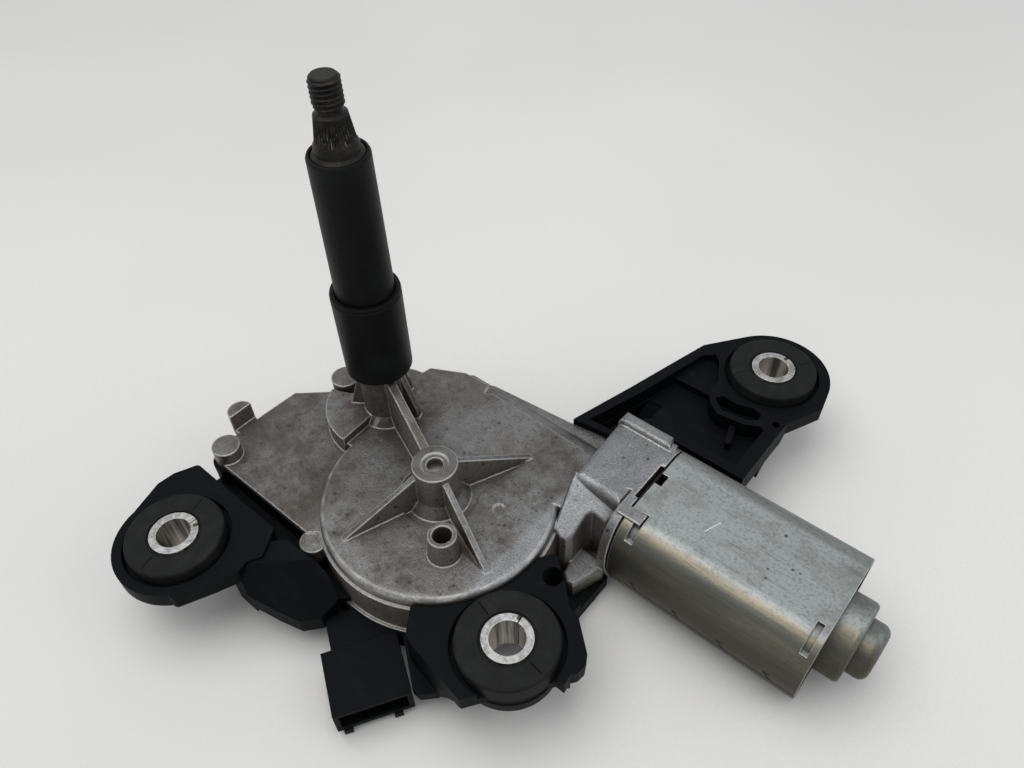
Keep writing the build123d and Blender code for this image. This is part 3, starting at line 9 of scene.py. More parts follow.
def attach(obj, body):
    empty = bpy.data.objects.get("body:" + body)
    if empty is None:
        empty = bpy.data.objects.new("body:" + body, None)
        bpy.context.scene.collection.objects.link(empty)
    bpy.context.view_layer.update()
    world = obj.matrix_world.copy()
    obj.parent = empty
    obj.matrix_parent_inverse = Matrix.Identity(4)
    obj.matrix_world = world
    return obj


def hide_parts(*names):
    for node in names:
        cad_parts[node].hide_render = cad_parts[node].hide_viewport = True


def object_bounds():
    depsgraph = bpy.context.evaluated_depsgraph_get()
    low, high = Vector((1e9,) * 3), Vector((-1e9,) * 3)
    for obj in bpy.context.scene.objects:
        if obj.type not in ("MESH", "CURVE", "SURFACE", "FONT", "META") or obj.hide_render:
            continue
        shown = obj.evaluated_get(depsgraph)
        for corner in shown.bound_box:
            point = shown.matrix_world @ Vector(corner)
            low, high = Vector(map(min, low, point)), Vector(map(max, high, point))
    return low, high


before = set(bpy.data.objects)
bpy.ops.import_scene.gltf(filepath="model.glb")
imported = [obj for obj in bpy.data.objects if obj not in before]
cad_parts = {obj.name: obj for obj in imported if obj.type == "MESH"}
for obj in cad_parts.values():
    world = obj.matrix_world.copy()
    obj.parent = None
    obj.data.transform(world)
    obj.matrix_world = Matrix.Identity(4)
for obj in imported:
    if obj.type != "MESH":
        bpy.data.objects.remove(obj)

bl_info = {
    "name": "Wiper Gear Motor",
    "version": (1, 0, 0),
    "blender": (4, 5, 0),
    "location": "3D View > Sidebar > Gear Motor",
    "description": "Finishes, spindle thread and fine detail for a wiper gear motor",
    "category": "Object",
}

MM = 0.001
CAD_LOW, CAD_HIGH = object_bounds()

# Places in the model, in millimetres, that the finishes refer to.
WHEEL_CENTRE = (36.9, -14.9)
BLOCK_START_X = 64.0
CAN_X, CAN_END_X = 87.0, 147.0
CAN_SPOTS = (
    (125.1, 31.8, 0.50),
    (126.2, 19.3, 0.40),
    (131.5, 23.2, 0.40),
    (133.5, 23.4, 0.30),
    (127.1, 16.5, 0.35),
)
CAN_SCRATCH = ((107.0, 19.2, 0.0), (109.0, 24.4, 0.0))
SEAM_Z = 12.7
LOCK_X, LOCK_STEP, LOCK_HEIGHT = 96.4, 14.2, 3.0
GROMMETS = {
    "front": (83.4, -38.3),
    "left": (-12.2, -74.1),
    "rear": (90.5, 92.8),
}
SLIT_ANGLES = {
    "front": (166.5, -8.5),
    "left": (106.0, -77.0),
    "rear": (-132.0, 48.0),
}
SLIT_REACH = (8.6, 12.8)
BUTT_ANGLES = {"front": 101.0, "left": 64.0, "rear": 77.0}
NICK_REACH = (6.2, 7.4)
MARK_WIDTHS = {"seam": 0.95, "lock": 0.85, "scratch": 0.28, "slit": 0.45, "nick": 1.5}

# Ranges over which a finish comes in, in metres.
STEM_FILM = (0.022, 0.011)
LOW_PLATE_TOP = (0.0246, 0.0240)
LOW_PLATE_EDGE = (0.016, 0.006)
# The dome's rim fillet gets a painted highlight over this range of radius.
DOME_RIM_HIGHLIGHT_START, DOME_RIM_HIGHLIGHT_END = (0.0340, 0.0348), (0.0360, 0.0355)
# The can is painted darker towards its low side, as painted shade.
LOW_SIDE_SHADE = (0.036, 0.016)
BARE_FLUTES_TOP, BARE_FLUTES_FOOT = (0.1298, 0.1275), (0.1249, 0.1255)

# The output spindle, in metres: height and radius of its turned rows from the lower end up.
SPINDLE_SHANK = (
    (0.0030, 0.0046),
    (0.0034, 0.0050),
    (0.0037, 0.0050),
    (0.00371, 0.0045),
    (0.00439, 0.0045),
    (0.0044, 0.0050),
    (0.0600, 0.0050),
    (0.1204, 0.0050),
    (0.1206, 0.0067),
    (0.1214, 0.0069),
    (0.1222, 0.0060),
    (0.1242, 0.0058),
)
CONE_LOW, CONE_HIGH = 0.1250, 0.1320
CONE_RADIUS, CONE_TAPER = 0.0053, 0.0010
CONE_ROWS = 8
UNDERCUT = ((0.1326, 0.0035), (0.1336, 0.0035))
THREAD_LOW, THREAD_HIGH = 0.1342, 0.1417
THREAD_TIP_RADIUS = 0.0031
THREAD_ROWS = 56
SPINDLE_SIDES = 144

# The stage, in metres.
FLOOR_HALF = 2.5
FLOOR_CORNERS = ((-1, -1), (1, -1), (1, 1), (-1, 1))
FLOOR_GAP = 0.0002
BACKDROP = 0.66
LAMP_TARGET = (0.05, 0.0, 0.02)
KEY_PLACE, KEY_SIZE = (-0.10, -0.12, 0.95), 0.90
FILL_PLACE, FILL_SIZE = (0.60, 0.30, 0.50), 0.50
CAMERA_PLACE = (0.15167, -0.11121, 0.22847)
CAMERA_RIGHT = (0.7690, 0.6388, -0.0239)
CAMERA_FORWARD = (-0.4545, 0.5201, -0.7231)


# ==== settings ====================================================================================
def colour(name, description, default):
    """Colour setting in linear light."""
    return FloatVectorProperty(
        name=name,
        description=description,
        default=default,
        size=3,
        min=0.0,
        max=1.0,
        subtype="COLOR",
    )


def length(name, description, default):
    """Length setting in metres."""
    return FloatProperty(
        name=name,
        description=description,
        default=default,
        min=0.0,
        precision=5,
        subtype="DISTANCE",
        unit="LENGTH",
    )


class GEARMOTOR_PG_casting(bpy.types.PropertyGroup):
    """Bare die-cast aluminium of the gear housing."""

    bare: colour("Bare Metal", "Clean cast surface", (0.196, 0.200, 0.206))
    dull: colour("Dull Metal", "Oxidised patches", (0.112, 0.110, 0.107))
    # The grime colour also paints brown shade into corners and hollows.
    grime_and_shade: colour("Grime", "Brown film in corners and round the stem", (0.052, 0.043, 0.035))
    warm: colour("Warm Metal", "Brownish tarnish in wide patches", (0.118, 0.107, 0.094))
    block: colour("Motor Block", "Cleaner metal next to the can", (0.265, 0.275, 0.290))
    # Steep faces are painted a lighter, warmer tone for the light that falls on them.
    steep_face_light: colour("Wall", "Steep faces, drawn clean against the die", (0.36, 0.335, 0.300))
    # The worn colour also paints the highlight along the dome's rim.
    worn: colour("Worn Edge", "Metal rubbed bright along edges", (0.56, 0.56, 0.55))
    rounding: length("Edge Rounding", "Radius of the cast edges", 0.0009)
    grain: length("Grain", "Depth of the cast grain", 0.00022)


class GEARMOTOR_PG_can(bpy.types.PropertyGroup):
    """Zinc coat of the motor can, and bare steel of the rolled sleeves."""

    zinc: colour("Zinc", "Clean zinc coat", (0.315, 0.340, 0.345))
    # The straw band and the aged zinc bands under the turn are painted reflections and shade that
    # follow how the side faces; the aged zinc also colours real dull patches.
    straw_reflection: colour("Straw Band", "Yellowish band along the turn of the side", (0.255, 0.230, 0.175))
    moss_and_shade: colour("Aged Zinc", "Dull greenish grey under the turn", (0.150, 0.155, 0.135))
    sleeve: colour("Sleeve End", "Scored ends of the sleeves in the grommets", (0.42, 0.42, 0.42))
    # The bore colour is a painted reflection, paler than the ends.
    bore_sheen: colour("Sleeve Bore", "Inside of the sleeves", (0.66, 0.63, 0.56))
    # The stain colour is used for the real spots, nicks and the seam, and also for the painted
    # shade in corners and on the low side.
    stain_and_shade: colour("Stain", "Dark spots, corners and the low side", (0.05, 0.047, 0.035))
    scratch: colour("Scratch", "Bright edges and the scratched line", (0.80, 0.80, 0.77))
    rounding: length("Edge Rounding", "Radius of the sheared edges", 0.0004)


class GEARMOTOR_PG_moulding(bpy.types.PropertyGroup):
    """Black glass-filled plastic of the bracket, and the soft black parts."""

    plastic: colour("Plastic", "Moulded bracket and connector", (0.0022, 0.0028, 0.0034))
    scuff: colour("Scuff", "Paler rubbed places on the plastic", (0.018, 0.021, 0.023))
    rubber: colour("Rubber", "Grommets", (0.0098, 0.0102, 0.0105))
    bloom: colour("Bloom", "Dusty film on the rubber", (0.028, 0.028, 0.028))
    tube: colour("Tube", "Sleeve and collar round the spindle", (0.0046, 0.0047, 0.0050))
    rounding: length("Edge Rounding", "Radius of moulded edges", 0.0005)


class GEARMOTOR_PG_spindle(bpy.types.PropertyGroup):
    """Turned and threaded end of the output spindle."""

    black: colour("Black Oxide", "Blackened steel", (0.0125, 0.0122, 0.012))
    rubbed: colour("Rubbed Steel", "Steel showing through on crests", (0.42, 0.41, 0.39))
    rust: colour("Rust", "Brown tinge between the flutes", (0.040, 0.027, 0.018))
    pitch: length("Thread Pitch", "Pitch of the nut's thread", 0.00125)
    crest: length("Crest Radius", "Outer radius of the thread", 0.0040)
    root: length("Root Radius", "Inner radius of the thread", 0.00335)
    flutes: IntProperty(
        name="Flutes", description="Serrations round the cone", default=36, min=8, max=72
    )
    flute_depth: length("Flute Depth", "Depth of the serrations", 0.00040)


class GEARMOTOR_PG_gears(bpy.types.PropertyGroup):
    """Finishes of the parts inside the case."""

    steel: colour("Ground Steel", "Shafts, pins and links", (0.52, 0.52, 0.51))
    nylon: colour("Nylon", "Gear wheel", (0.62, 0.60, 0.53))
    bronze: colour("Sintered Bronze", "Oil-soaked bushes", (0.33, 0.20, 0.10))
    copper: colour("Copper", "Bars and leaf springs", (0.72, 0.33, 0.19))
    enamel: colour("Enamelled Wire", "Armature windings", (0.47, 0.16, 0.06))
    ferrite: colour("Ferrite", "Magnets", (0.055, 0.055, 0.058))
    carbon: colour("Carbon", "Brushes", (0.030, 0.029, 0.029))
    board: colour("Board", "Contact board", (0.05, 0.15, 0.06))
    resin: colour("Resin", "Brush carrier and commutator hub", (0.075, 0.038, 0.020))
    tin: colour("Tin", "Plated pins", (0.66, 0.66, 0.64))


class GEARMOTOR_PG_stage(bpy.types.PropertyGroup):
    """Floor, lights and camera."""

    floor: colour("Floor", "Pale sheet the part lies on", (0.672, 0.668, 0.664))
    key: FloatProperty(
        name="Key Light", description="Power of the large lamp", default=6.0, min=0.0, unit="POWER"
    )
    fill: FloatProperty(
        name="Fill Light", description="Power of the fill lamp", default=0.8, min=0.0, unit="POWER"
    )
    sky: FloatProperty(
        name="Sky", description="Strength of the light all round", default=0.70, min=0.0
    )
    lens: FloatProperty(
        name="Lens", description="Focal length in millimetres", default=29.03, min=1.0
    )


class GEARMOTOR_PG_settings(bpy.types.PropertyGroup):
    """All settings of the gear motor."""

    casting: PointerProperty(type=GEARMOTOR_PG_casting)
    can: PointerProperty(type=GEARMOTOR_PG_can)
    moulding: PointerProperty(type=GEARMOTOR_PG_moulding)
    spindle: PointerProperty(type=GEARMOTOR_PG_spindle)
    gears: PointerProperty(type=GEARMOTOR_PG_gears)
    stage: PointerProperty(type=GEARMOTOR_PG_stage)


# ==== finishes ====================================================================================
def shade(tone, kept):
    """Colour with a share of its light kept."""
    return [value * kept for value in tone]


def spoke(x, y, angle, reach):
    """Both ends of a level line that points away from a centre, at an angle in degrees."""
    centre = Vector((x, y, 0.0))
    way = Vector((math.cos(math.radians(angle)), math.sin(math.radians(angle)), 0.0))
    return [centre + way * distance for distance in reach]


class Finish:
    """Node tree of one material, with short names for the nodes that the finishes use."""

    def __init__(self, name):
        self.material = bpy.data.materials.new(name)
        self.material.use_nodes = True
        self.tree = self.material.node_tree
        self.shader = self.tree.nodes["Principled BSDF"]
        self.place = self.add("ShaderNodeTexCoord").outputs["Object"]
        self.facing = self.add("ShaderNodeNewGeometry").outputs["Normal"]

    def add(self, kind, **settings):
        """New node with some of its settings."""
        node = self.tree.nodes.new(kind)
        for key, value in settings.items():
            setattr(node, key, value)
        return node

    def feed(self, socket, value):
        """Link a socket, or set it."""
        if isinstance(value, bpy.types.NodeSocket):
            self.tree.links.new(value, socket)
        elif isinstance(value, (int, float)) or socket.type == "VECTOR":
            socket.default_value = value
        else:
            socket.default_value = (*value, 1.0)

    def sum(self, operation, first, second=0.0, third=0.0):
        """Arithmetic on numbers."""
        node = self.add("ShaderNodeMath", operation=operation)
        for socket, value in zip(node.inputs, (first, second, third)):
            self.feed(socket, value)
        return node.outputs[0]

    def times(self, first, second):
        """Product of two numbers."""
        return self.sum("MULTIPLY", first, second)

    def vector(self, operation, first, second=(0.0, 0.0, 0.0)):
        """Arithmetic on vectors."""
        node = self.add("ShaderNodeVectorMath", operation=operation)
        self.feed(node.inputs[0], first)
        self.feed(node.inputs[1], second)
        return node

    def axis(self, letter, vector=None):
        """One coordinate of a place, in metres."""
        node = self.add("ShaderNodeSeparateXYZ")
        self.feed(node.inputs[0], vector or self.place)
        return node.outputs[letter]

    def steps(self, value, low, high, out_low=0.0, out_high=1.0):
        """Value carried from one range to another, held at both ends."""
        node = self.add("ShaderNodeMapRange", interpolation_type="SMOOTHSTEP")
        for socket, number in zip(node.inputs, (value, low, high, out_low, out_high)):
            self.feed(socket, number)
        return node.outputs[0]

    def noise(self, size, detail=4.0, rough=0.55, stretch=(1.0, 1.0, 1.0), bend=0.0):
        """Cloudy noise whose patches are about size metres across."""
        moved = self.vector("MULTIPLY", self.place, stretch).outputs[0]
        node = self.add("ShaderNodeTexNoise")
        self.feed(node.inputs["Vector"], moved)
        self.feed(node.inputs["Scale"], 1.0 / size)
        self.feed(node.inputs["Detail"], detail)
        self.feed(node.inputs["Roughness"], rough)
        self.feed(node.inputs["Distortion"], bend)
        return node.outputs["Fac"]

    def cells(self, size, feature="F1", stretch=(1.0, 1.0, 1.0), output="Distance"):
        """Cell pattern about size metres across."""
        moved = self.vector("MULTIPLY", self.place, stretch).outputs[0]
        node = self.add("ShaderNodeTexVoronoi", feature=feature)
        self.feed(node.inputs["Vector"], moved)
        self.feed(node.inputs["Scale"], 1.0 / size)
        return node.outputs[output]

    def mix(self, share_of_second, first, second, blend="MIX"):
        """Colour between two colours."""
        node = self.add("ShaderNodeMix", data_type="RGBA", blend_type=blend)
        self.feed(node.inputs[0], share_of_second)
        self.feed(node.inputs[6], first)
        self.feed(node.inputs[7], second)
        return node.outputs[2]

    def rounded(self, radius):
        """Normal of an edge rounded to a radius, and how much it turns there."""
        node = self.add("ShaderNodeBevel", samples=6)
        self.feed(node.inputs["Radius"], radius)
        turned = self.vector("DOT_PRODUCT", node.outputs[0], self.facing).outputs["Value"]
        return node.outputs[0], self.sum("SUBTRACT", 1.0, turned)

    def corners(self, reach):
        """1 deep in a corner or a groove, 0 in the open."""
        node = self.add("ShaderNodeAmbientOcclusion", samples=8)
        self.feed(node.inputs["Distance"], reach)
        return self.sum("SUBTRACT", 1.0, node.outputs["AO"])

    def raise_by(self, height, depth, normal=None, strength=1.0):
        """Relief of a height map, over another normal."""
        node = self.add("ShaderNodeBump")
        self.feed(node.inputs["Strength"], strength)
        self.feed(node.inputs["Distance"], depth)
        self.feed(node.inputs["Height"], height)
        if normal:
            self.feed(node.inputs["Normal"], normal)
        return node.outputs[0]

    def radius_from(self, x, y):
        """Distance in metres from an upright line, given in millimetres."""
        flat = self.vector("MULTIPLY", self.place, (1.0, 1.0, 0.0)).outputs[0]
        moved = self.vector("SUBTRACT", flat, (x * MM, y * MM, 0.0)).outputs[0]
        return self.vector("LENGTH", moved).outputs["Value"]

    def stroke(self, start, end, width, plane=(1.0, 1.0, 0.0), place=None):
        """1 along a line between two places given in millimetres, seen square to a plane."""
        start, end = Vector(start) * MM, Vector(end) * MM
        along = end - start
        flat = self.vector("MULTIPLY", place or self.place, plane).outputs[0]
        moved = self.vector("SUBTRACT", flat, tuple(start)).outputs[0]
        run = self.vector("DOT_PRODUCT", moved, tuple(along / along.length_squared))
        held = self.add("ShaderNodeClamp")
        self.feed(held.inputs[0], run.outputs["Value"])
        nearest = self.vector("SCALE", tuple(along))
        self.feed(nearest.inputs["Scale"], held.outputs[0])
        apart = self.vector("DISTANCE", moved, nearest.outputs[0]).outputs["Value"]
        return self.steps(apart, width * MM * 0.5, width * MM * 0.3)

    def any_of(self, masks):
        """Strongest of several masks."""
        strongest = masks[0]
        for mask in masks[1:]:
            strongest = self.sum("MAXIMUM", strongest, mask)
        return strongest

    def finish(self, **values):
        """Set or link the shader's sockets."""
        for key, value in values.items():
            self.feed(self.shader.inputs[key.replace("_", " ")], value)
        return self.material


def cast_alloy(look):
    """Die-cast aluminium: grain, oxidised patches, brown film round the stem, brown painted shade
    in corners, steep faces painted lighter, edges rubbed bright and a painted highlight along the
    dome's rim.
    """
    finish = Finish("cast aluminium")
    smooth, edge = finish.rounded(look.rounding)
    # Ambient-occlusion masks; below they paint brown shade into corners and hollows.
    corner = finish.steps(finish.corners(0.006), 0.22, 0.80)
    wide_corner = finish.steps(finish.corners(0.018), 0.42, 0.90)
    clouds = finish.noise(0.030, detail=6.0, bend=0.6)
    mottle = finish.noise(0.0050, detail=9.0, rough=0.72)
    speck = finish.noise(0.0012, detail=6.0, rough=0.75)
    flow = finish.noise(0.005, detail=5.0, stretch=(1.0, 0.22, 1.0), bend=0.5)
    fine = finish.noise(0.0005, detail=3.0)
    block = finish.steps(finish.axis("X"), BLOCK_START_X * MM, (BLOCK_START_X + 3) * MM)
    calm = finish.sum("MULTIPLY_ADD", block, -0.6, 1.0)
    patches = finish.sum("ADD", finish.times(clouds, 0.5), finish.times(mottle, 0.5))
    patches = finish.times(finish.steps(patches, 0.40, 0.62), calm)
    clean = finish.mix(block, look.bare, look.block)
    metal = finish.mix(patches, clean, look.dull)
    tarnish = finish.noise(0.022, detail=5.0, rough=0.6, bend=0.8)
    tarnish = finish.times(finish.steps(tarnish, 0.40, 0.64, 0.0, 0.60), calm)
    metal = finish.mix(tarnish, metal, look.warm)
    metal = finish.mix(finish.times(finish.steps(flow, 0.50, 0.72), 0.30), metal, look.dull)
    upward = finish.axis("Z", finish.facing)
    # Painted light: faces that turn away from upright are painted lighter.
    metal = finish.mix(finish.steps(upward, 0.55, 0.15, 0.0, 0.75), metal, look.steep_face_light)
    pits = finish.times(finish.steps(speck, 0.53, 0.66), finish.times(calm, 0.65))
    metal = finish.mix(pits, metal, look.grime_and_shade)
    metal = finish.mix(finish.steps(fine, 0.42, 0.66, 0.0, 0.38), metal, look.grime_and_shade)
    dents = finish.sum("MULTIPLY_ADD", speck, 0.30, finish.cells(0.0038))
    dents = finish.times(finish.steps(dents, 0.34, 0.26), finish.steps(mottle, 0.44, 0.56))
    metal = finish.mix(finish.times(dents, 0.75), metal, shade(look.grime_and_shade, 0.6))
    film_and_shade = finish.steps(finish.sum("ADD", mottle, finish.times(clouds, 0.5)), 0.78, 0.98, 0.0, 0.45)
    film_and_shade = finish.times(film_and_shade, calm)
    # Painted shade along wide corners, broken up by mottle.
    smeared_shade = finish.times(wide_corner, finish.steps(mottle, 0.36, 0.60, 0.05, 0.55))
    stem = finish.steps(finish.radius_from(0.0, 0.0), *STEM_FILM)
    stem = finish.times(stem, finish.steps(mottle, 0.32, 0.58, 0.25, 0.70))
    # Darker and browner on the low plate.
    low_plate = finish.steps(finish.axis("Z"), *LOW_PLATE_TOP)
    low_plate = finish.times(low_plate, finish.steps(finish.axis("X"), *LOW_PLATE_EDGE))
    low_plate = finish.times(low_plate, finish.steps(mottle, 0.34, 0.60, 0.30, 0.55))
    # The film is real brown grime round the stem and in patches, plus painted shade in corners.
    film_and_shade = finish.any_of([film_and_shade, smeared_shade, finish.times(corner, 0.85), stem, low_plate])
    metal = finish.mix(film_and_shade, metal, look.grime_and_shade)
    rubbed = finish.times(finish.steps(edge, 0.010, 0.14), finish.steps(corner, 1.0, 0.5, 0.3, 1.0))
    rubbed = finish.times(rubbed, finish.steps(speck, 0.32, 0.56, 0.45, 1.0))
    # Painted highlight on the dome's rim fillet, joined to the rubbed edges and coloured with the
    # worn colour.
    reach = finish.radius_from(*WHEEL_CENTRE)
    rim_highlight = finish.times(finish.steps(reach, *DOME_RIM_HIGHLIGHT_START), finish.steps(reach, *DOME_RIM_HIGHLIGHT_END))
    rim_highlight = finish.times(rim_highlight, finish.steps(upward, 0.99, 0.96))
    rim_highlight = finish.times(rim_highlight, finish.steps(upward, 0.35, 0.60))
    rim_highlight = finish.times(rim_highlight, finish.steps(mottle, 0.40, 0.58, 0.15, 0.55))
    rubbed = finish.any_of([rubbed, rim_highlight])
    metal = finish.mix(rubbed, metal, look.worn)
    dull = finish.sum("MULTIPLY_ADD", patches, 0.12, 0.36)
    dull = finish.sum("ADD", dull, finish.times(film_and_shade, 0.25))
    dull = finish.sum("ADD", dull, finish.times(finish.sum("SUBTRACT", fine, 0.5), 0.15))
    dull = finish.sum("SUBTRACT", dull, finish.times(rubbed, 0.12))
    grain = finish.sum("ADD", finish.times(fine, 0.4), finish.times(speck, 0.6))
    relief = finish.raise_by(grain, look.grain, smooth)
    relief = finish.raise_by(finish.times(mottle, calm), 0.0003, relief, strength=0.6)
    return finish.finish(Base_Color=metal, Metallic=0.85, Roughness=dull, Normal=relief)


def sheet_marks(finish):
    """Dark spots and the seam of the can, and the bright scratch on its top."""
    spots = []
    ragged = finish.noise(0.001)
    for x, y, size in CAN_SPOTS:
        reach = finish.sum("MULTIPLY_ADD", ragged, 0.0006, finish.radius_from(x, y))
        spots.append(finish.steps(reach, (size + 0.5) * MM, (size + 0.1) * MM))
    near = finish.steps(finish.axis("Y", finish.facing), -0.45, -0.55)
    ends = (CAN_X, 0, SEAM_Z), (CAN_END_X, 0, SEAM_Z)
    seam = [finish.stroke(*ends, MARK_WIDTHS["seam"], plane=(1, 0, 1))]
    run = finish.sum("SUBTRACT", finish.axis("X"), LOCK_X * MM)
    local = finish.sum("WRAP", run, LOCK_STEP * MM / 2, -LOCK_STEP * MM / 2)
    folded = finish.add("ShaderNodeCombineXYZ")
    finish.feed(folded.inputs[0], local)
    finish.feed(folded.inputs[2], finish.axis("Z"))
    high = SEAM_Z + LOCK_HEIGHT
    foot, knee, tip = (1.1, 0, SEAM_Z), (-1.3, 0, high), (0.2, 0, high)
    for ends in ((foot, knee), (knee, tip)):
        lock = finish.stroke(*ends, MARK_WIDTHS["lock"], plane=(1, 0, 1), place=folded.outputs[0])
        seam.append(lock)
    seam = finish.times(near, finish.any_of(seam))
    top = finish.steps(finish.axis("Z", finish.facing), 0.90, 0.95)
    scratch = finish.stroke(*CAN_SCRATCH, MARK_WIDTHS["scratch"])
    return finish.any_of(spots), seam, finish.times(top, finish.times(scratch, 0.8))


def zinc_sheet(name, look, along=(0.06, 1.0, 1.0), marked=False):
    """Galvanised steel: drawing lines, pale speckle, a painted straw reflection where it turns,
    painted darker bands and shade down the sides and towards the bottom.
    """
    finish = Finish(name)
    smooth, edge = finish.rounded(look.rounding)
    corner = finish.steps(finish.corners(0.004), 0.35, 0.9)
    lines = finish.noise(0.0009, detail=4.0, stretch=along)
    bands = finish.noise(0.006, detail=4.0, stretch=along)
    clouds = finish.noise(0.014, detail=6.0, bend=0.5)
    speckle = finish.noise(0.0009, detail=4.0, rough=0.7)
    # Painted reflections: bands of colour by facing direction, a straw highlight at the turn, then
    # darker and paler bands down the side.
    turn_lighting = finish.axis("Y", finish.facing)
    turn_lighting = finish.sum("ADD", turn_lighting, finish.times(finish.sum("SUBTRACT", bands, 0.5), 0.30))
    turn_lighting = finish.sum("ADD", turn_lighting, finish.times(finish.sum("SUBTRACT", clouds, 0.5), 0.30))
    zinc = finish.mix(finish.steps(turn_lighting, -0.16, -0.50), look.zinc, look.straw_reflection)
    zinc = finish.mix(finish.steps(turn_lighting, -0.52, -0.76), zinc, look.moss_and_shade)
    zinc = finish.mix(finish.steps(turn_lighting, -0.80, -0.94, 0.0, 0.55), zinc, look.straw_reflection)
    zinc = finish.mix(finish.steps(turn_lighting, -0.92, -1.04), zinc, look.moss_and_shade)
    side = finish.steps(turn_lighting, -0.40, -0.80)
    streaks = finish.noise(0.0016, detail=6.0, rough=0.7, stretch=along)
    streaks = finish.times(finish.steps(streaks, 0.44, 0.62), side)
    worn = finish.times(finish.steps(clouds, 0.45, 0.68), 0.45)
    zinc = finish.mix(worn, zinc, look.moss_and_shade)
    zinc = finish.mix(finish.times(finish.steps(bands, 0.50, 0.68), 0.50), zinc, look.moss_and_shade)
    zinc = finish.mix(finish.times(finish.steps(lines, 0.56, 0.72), 0.35), zinc, look.stain_and_shade)
    zinc = finish.mix(finish.steps(speckle, 0.48, 0.66, 0.0, 0.60), zinc, look.moss_and_shade)
    # Painted shade: darker towards the bottom of the can.
    low = finish.steps(finish.axis("Z"), *LOW_SIDE_SHADE)
    zinc = finish.mix(finish.times(low, 0.88), zinc, look.stain_and_shade)
    zinc = finish.mix(finish.times(streaks, 0.28), zinc, look.stain_and_shade)
    # Painted shade in corners, together with the real spots and the seam.
    shade_and_marks = finish.times(corner, 0.6)
    bright = finish.steps(edge, 0.03, 0.2)
    if marked:
        spots, seam, scratch = sheet_marks(finish)
        shade_and_marks = finish.any_of([shade_and_marks, finish.times(spots, 0.80), seam])
        bright = finish.any_of([bright, scratch])
    zinc = finish.mix(shade_and_marks, zinc, look.stain_and_shade)
    zinc = finish.mix(bright, zinc, look.scratch)
    if marked:
        zinc = finish.mix(seam, zinc, shade(look.stain_and_shade, 0.15))
    dull = finish.sum("MULTIPLY_ADD", lines, 0.16, 0.32)
    dull = finish.sum("ADD", dull, finish.times(clouds, 0.14))
    relief = finish.raise_by(lines, 0.00006, smooth, strength=0.7)
    relief = finish.raise_by(bands, 0.00015, relief, strength=0.5)
    relief = finish.raise_by(speckle, 0.00010, relief, strength=0.8)
    if not marked:
        return finish.finish(Base_Color=zinc, Metallic=0.92, Roughness=dull, Normal=relief)
    relief = finish.raise_by(finish.sum("SUBTRACT", 1.0, seam), 0.0004, relief)
    metal = finish.times(finish.sum("SUBTRACT", 1.0, seam), 0.92)
    dull = finish.sum("MAXIMUM", dull, seam)
    return finish.finish(Base_Color=zinc, Metallic=metal, Roughness=dull, Normal=relief)


def rolled_sleeve(look):
    """Rolled steel sleeve: dull scored end, a bore painted paler with light and dark streaks as
    reflections, and a dark nick where the butt opens.
    """
    finish = Finish("rolled sleeve")
    smooth, edge = finish.rounded(0.0003)
    lines = finish.noise(0.0006, detail=3.0, stretch=(1.0, 1.0, 0.08))
    clouds = finish.noise(0.0022, detail=7.0, rough=0.75)
    # Painted reflection inside the bore: a paler tone with light and dark streaks along it.
    bore_sheen = finish.steps(finish.axis("Z", finish.facing), 0.7, 0.4)
    end_tone = finish.mix(finish.steps(clouds, 0.40, 0.62), look.sleeve, shade(look.sleeve, 0.55))
    streaks = finish.noise(0.0024, detail=4.0, stretch=(1.0, 1.0, 0.06))
    bore_sheen_tone = finish.mix(finish.steps(streaks, 0.40, 0.58), look.bore_sheen, shade(look.bore_sheen, 0.22))
    metal = finish.mix(bore_sheen, end_tone, bore_sheen_tone)
    metal = finish.mix(finish.steps(edge, 0.02, 0.16), metal, look.scratch)
    nicks = []
    for name, (x, y) in GROMMETS.items():
        ends = spoke(x, y, BUTT_ANGLES[name], NICK_REACH)
        nicks.append(finish.stroke(*ends, MARK_WIDTHS["nick"]))
    metal = finish.mix(finish.any_of(nicks), metal, look.stain_and_shade)
    dull = finish.sum("MULTIPLY_ADD", lines, 0.18, 0.34)
    relief = finish.raise_by(lines, 0.00006, smooth)
    relief = finish.raise_by(clouds, 0.0003, relief, strength=0.8)
    return finish.finish(Base_Color=metal, Metallic=0.85, Roughness=dull, Normal=relief)


def black_plastic(look):
    """Glass-filled moulding: fine spark texture, flow marks, scuffed edges and a little dust."""
    finish = Finish("black moulding")
    smooth, edge = finish.rounded(look.rounding)
    spark = finish.noise(0.0005, detail=3.0)
    flow = finish.noise(0.009, detail=4.0, stretch=(0.4, 1.0, 1.0), bend=1.2)
    specks = finish.steps(finish.noise(0.0011, detail=2.0), 0.70, 0.78)
    scuffed = finish.steps(edge, 0.03, 0.30)
    scuffed = finish.times(scuffed, finish.steps(flow, 0.35, 0.65, 0.15, 0.6))
    worn = finish.sum("MAXIMUM", scuffed, finish.times(specks, 0.30))
    worn = finish.sum("MAXIMUM", worn, finish.times(finish.steps(flow, 0.55, 0.8), 0.22))
    plastic = finish.mix(worn, look.plastic, look.scuff)
    dull = finish.sum("MULTIPLY_ADD", spark, 0.16, 0.36)
    dull = finish.sum("ADD", dull, finish.times(flow, 0.14))
    relief = finish.raise_by(spark, 0.00007, smooth, strength=0.8)
    return finish.finish(Base_Color=plastic, Roughness=dull, Normal=relief, Specular_IOR_Level=0.06)


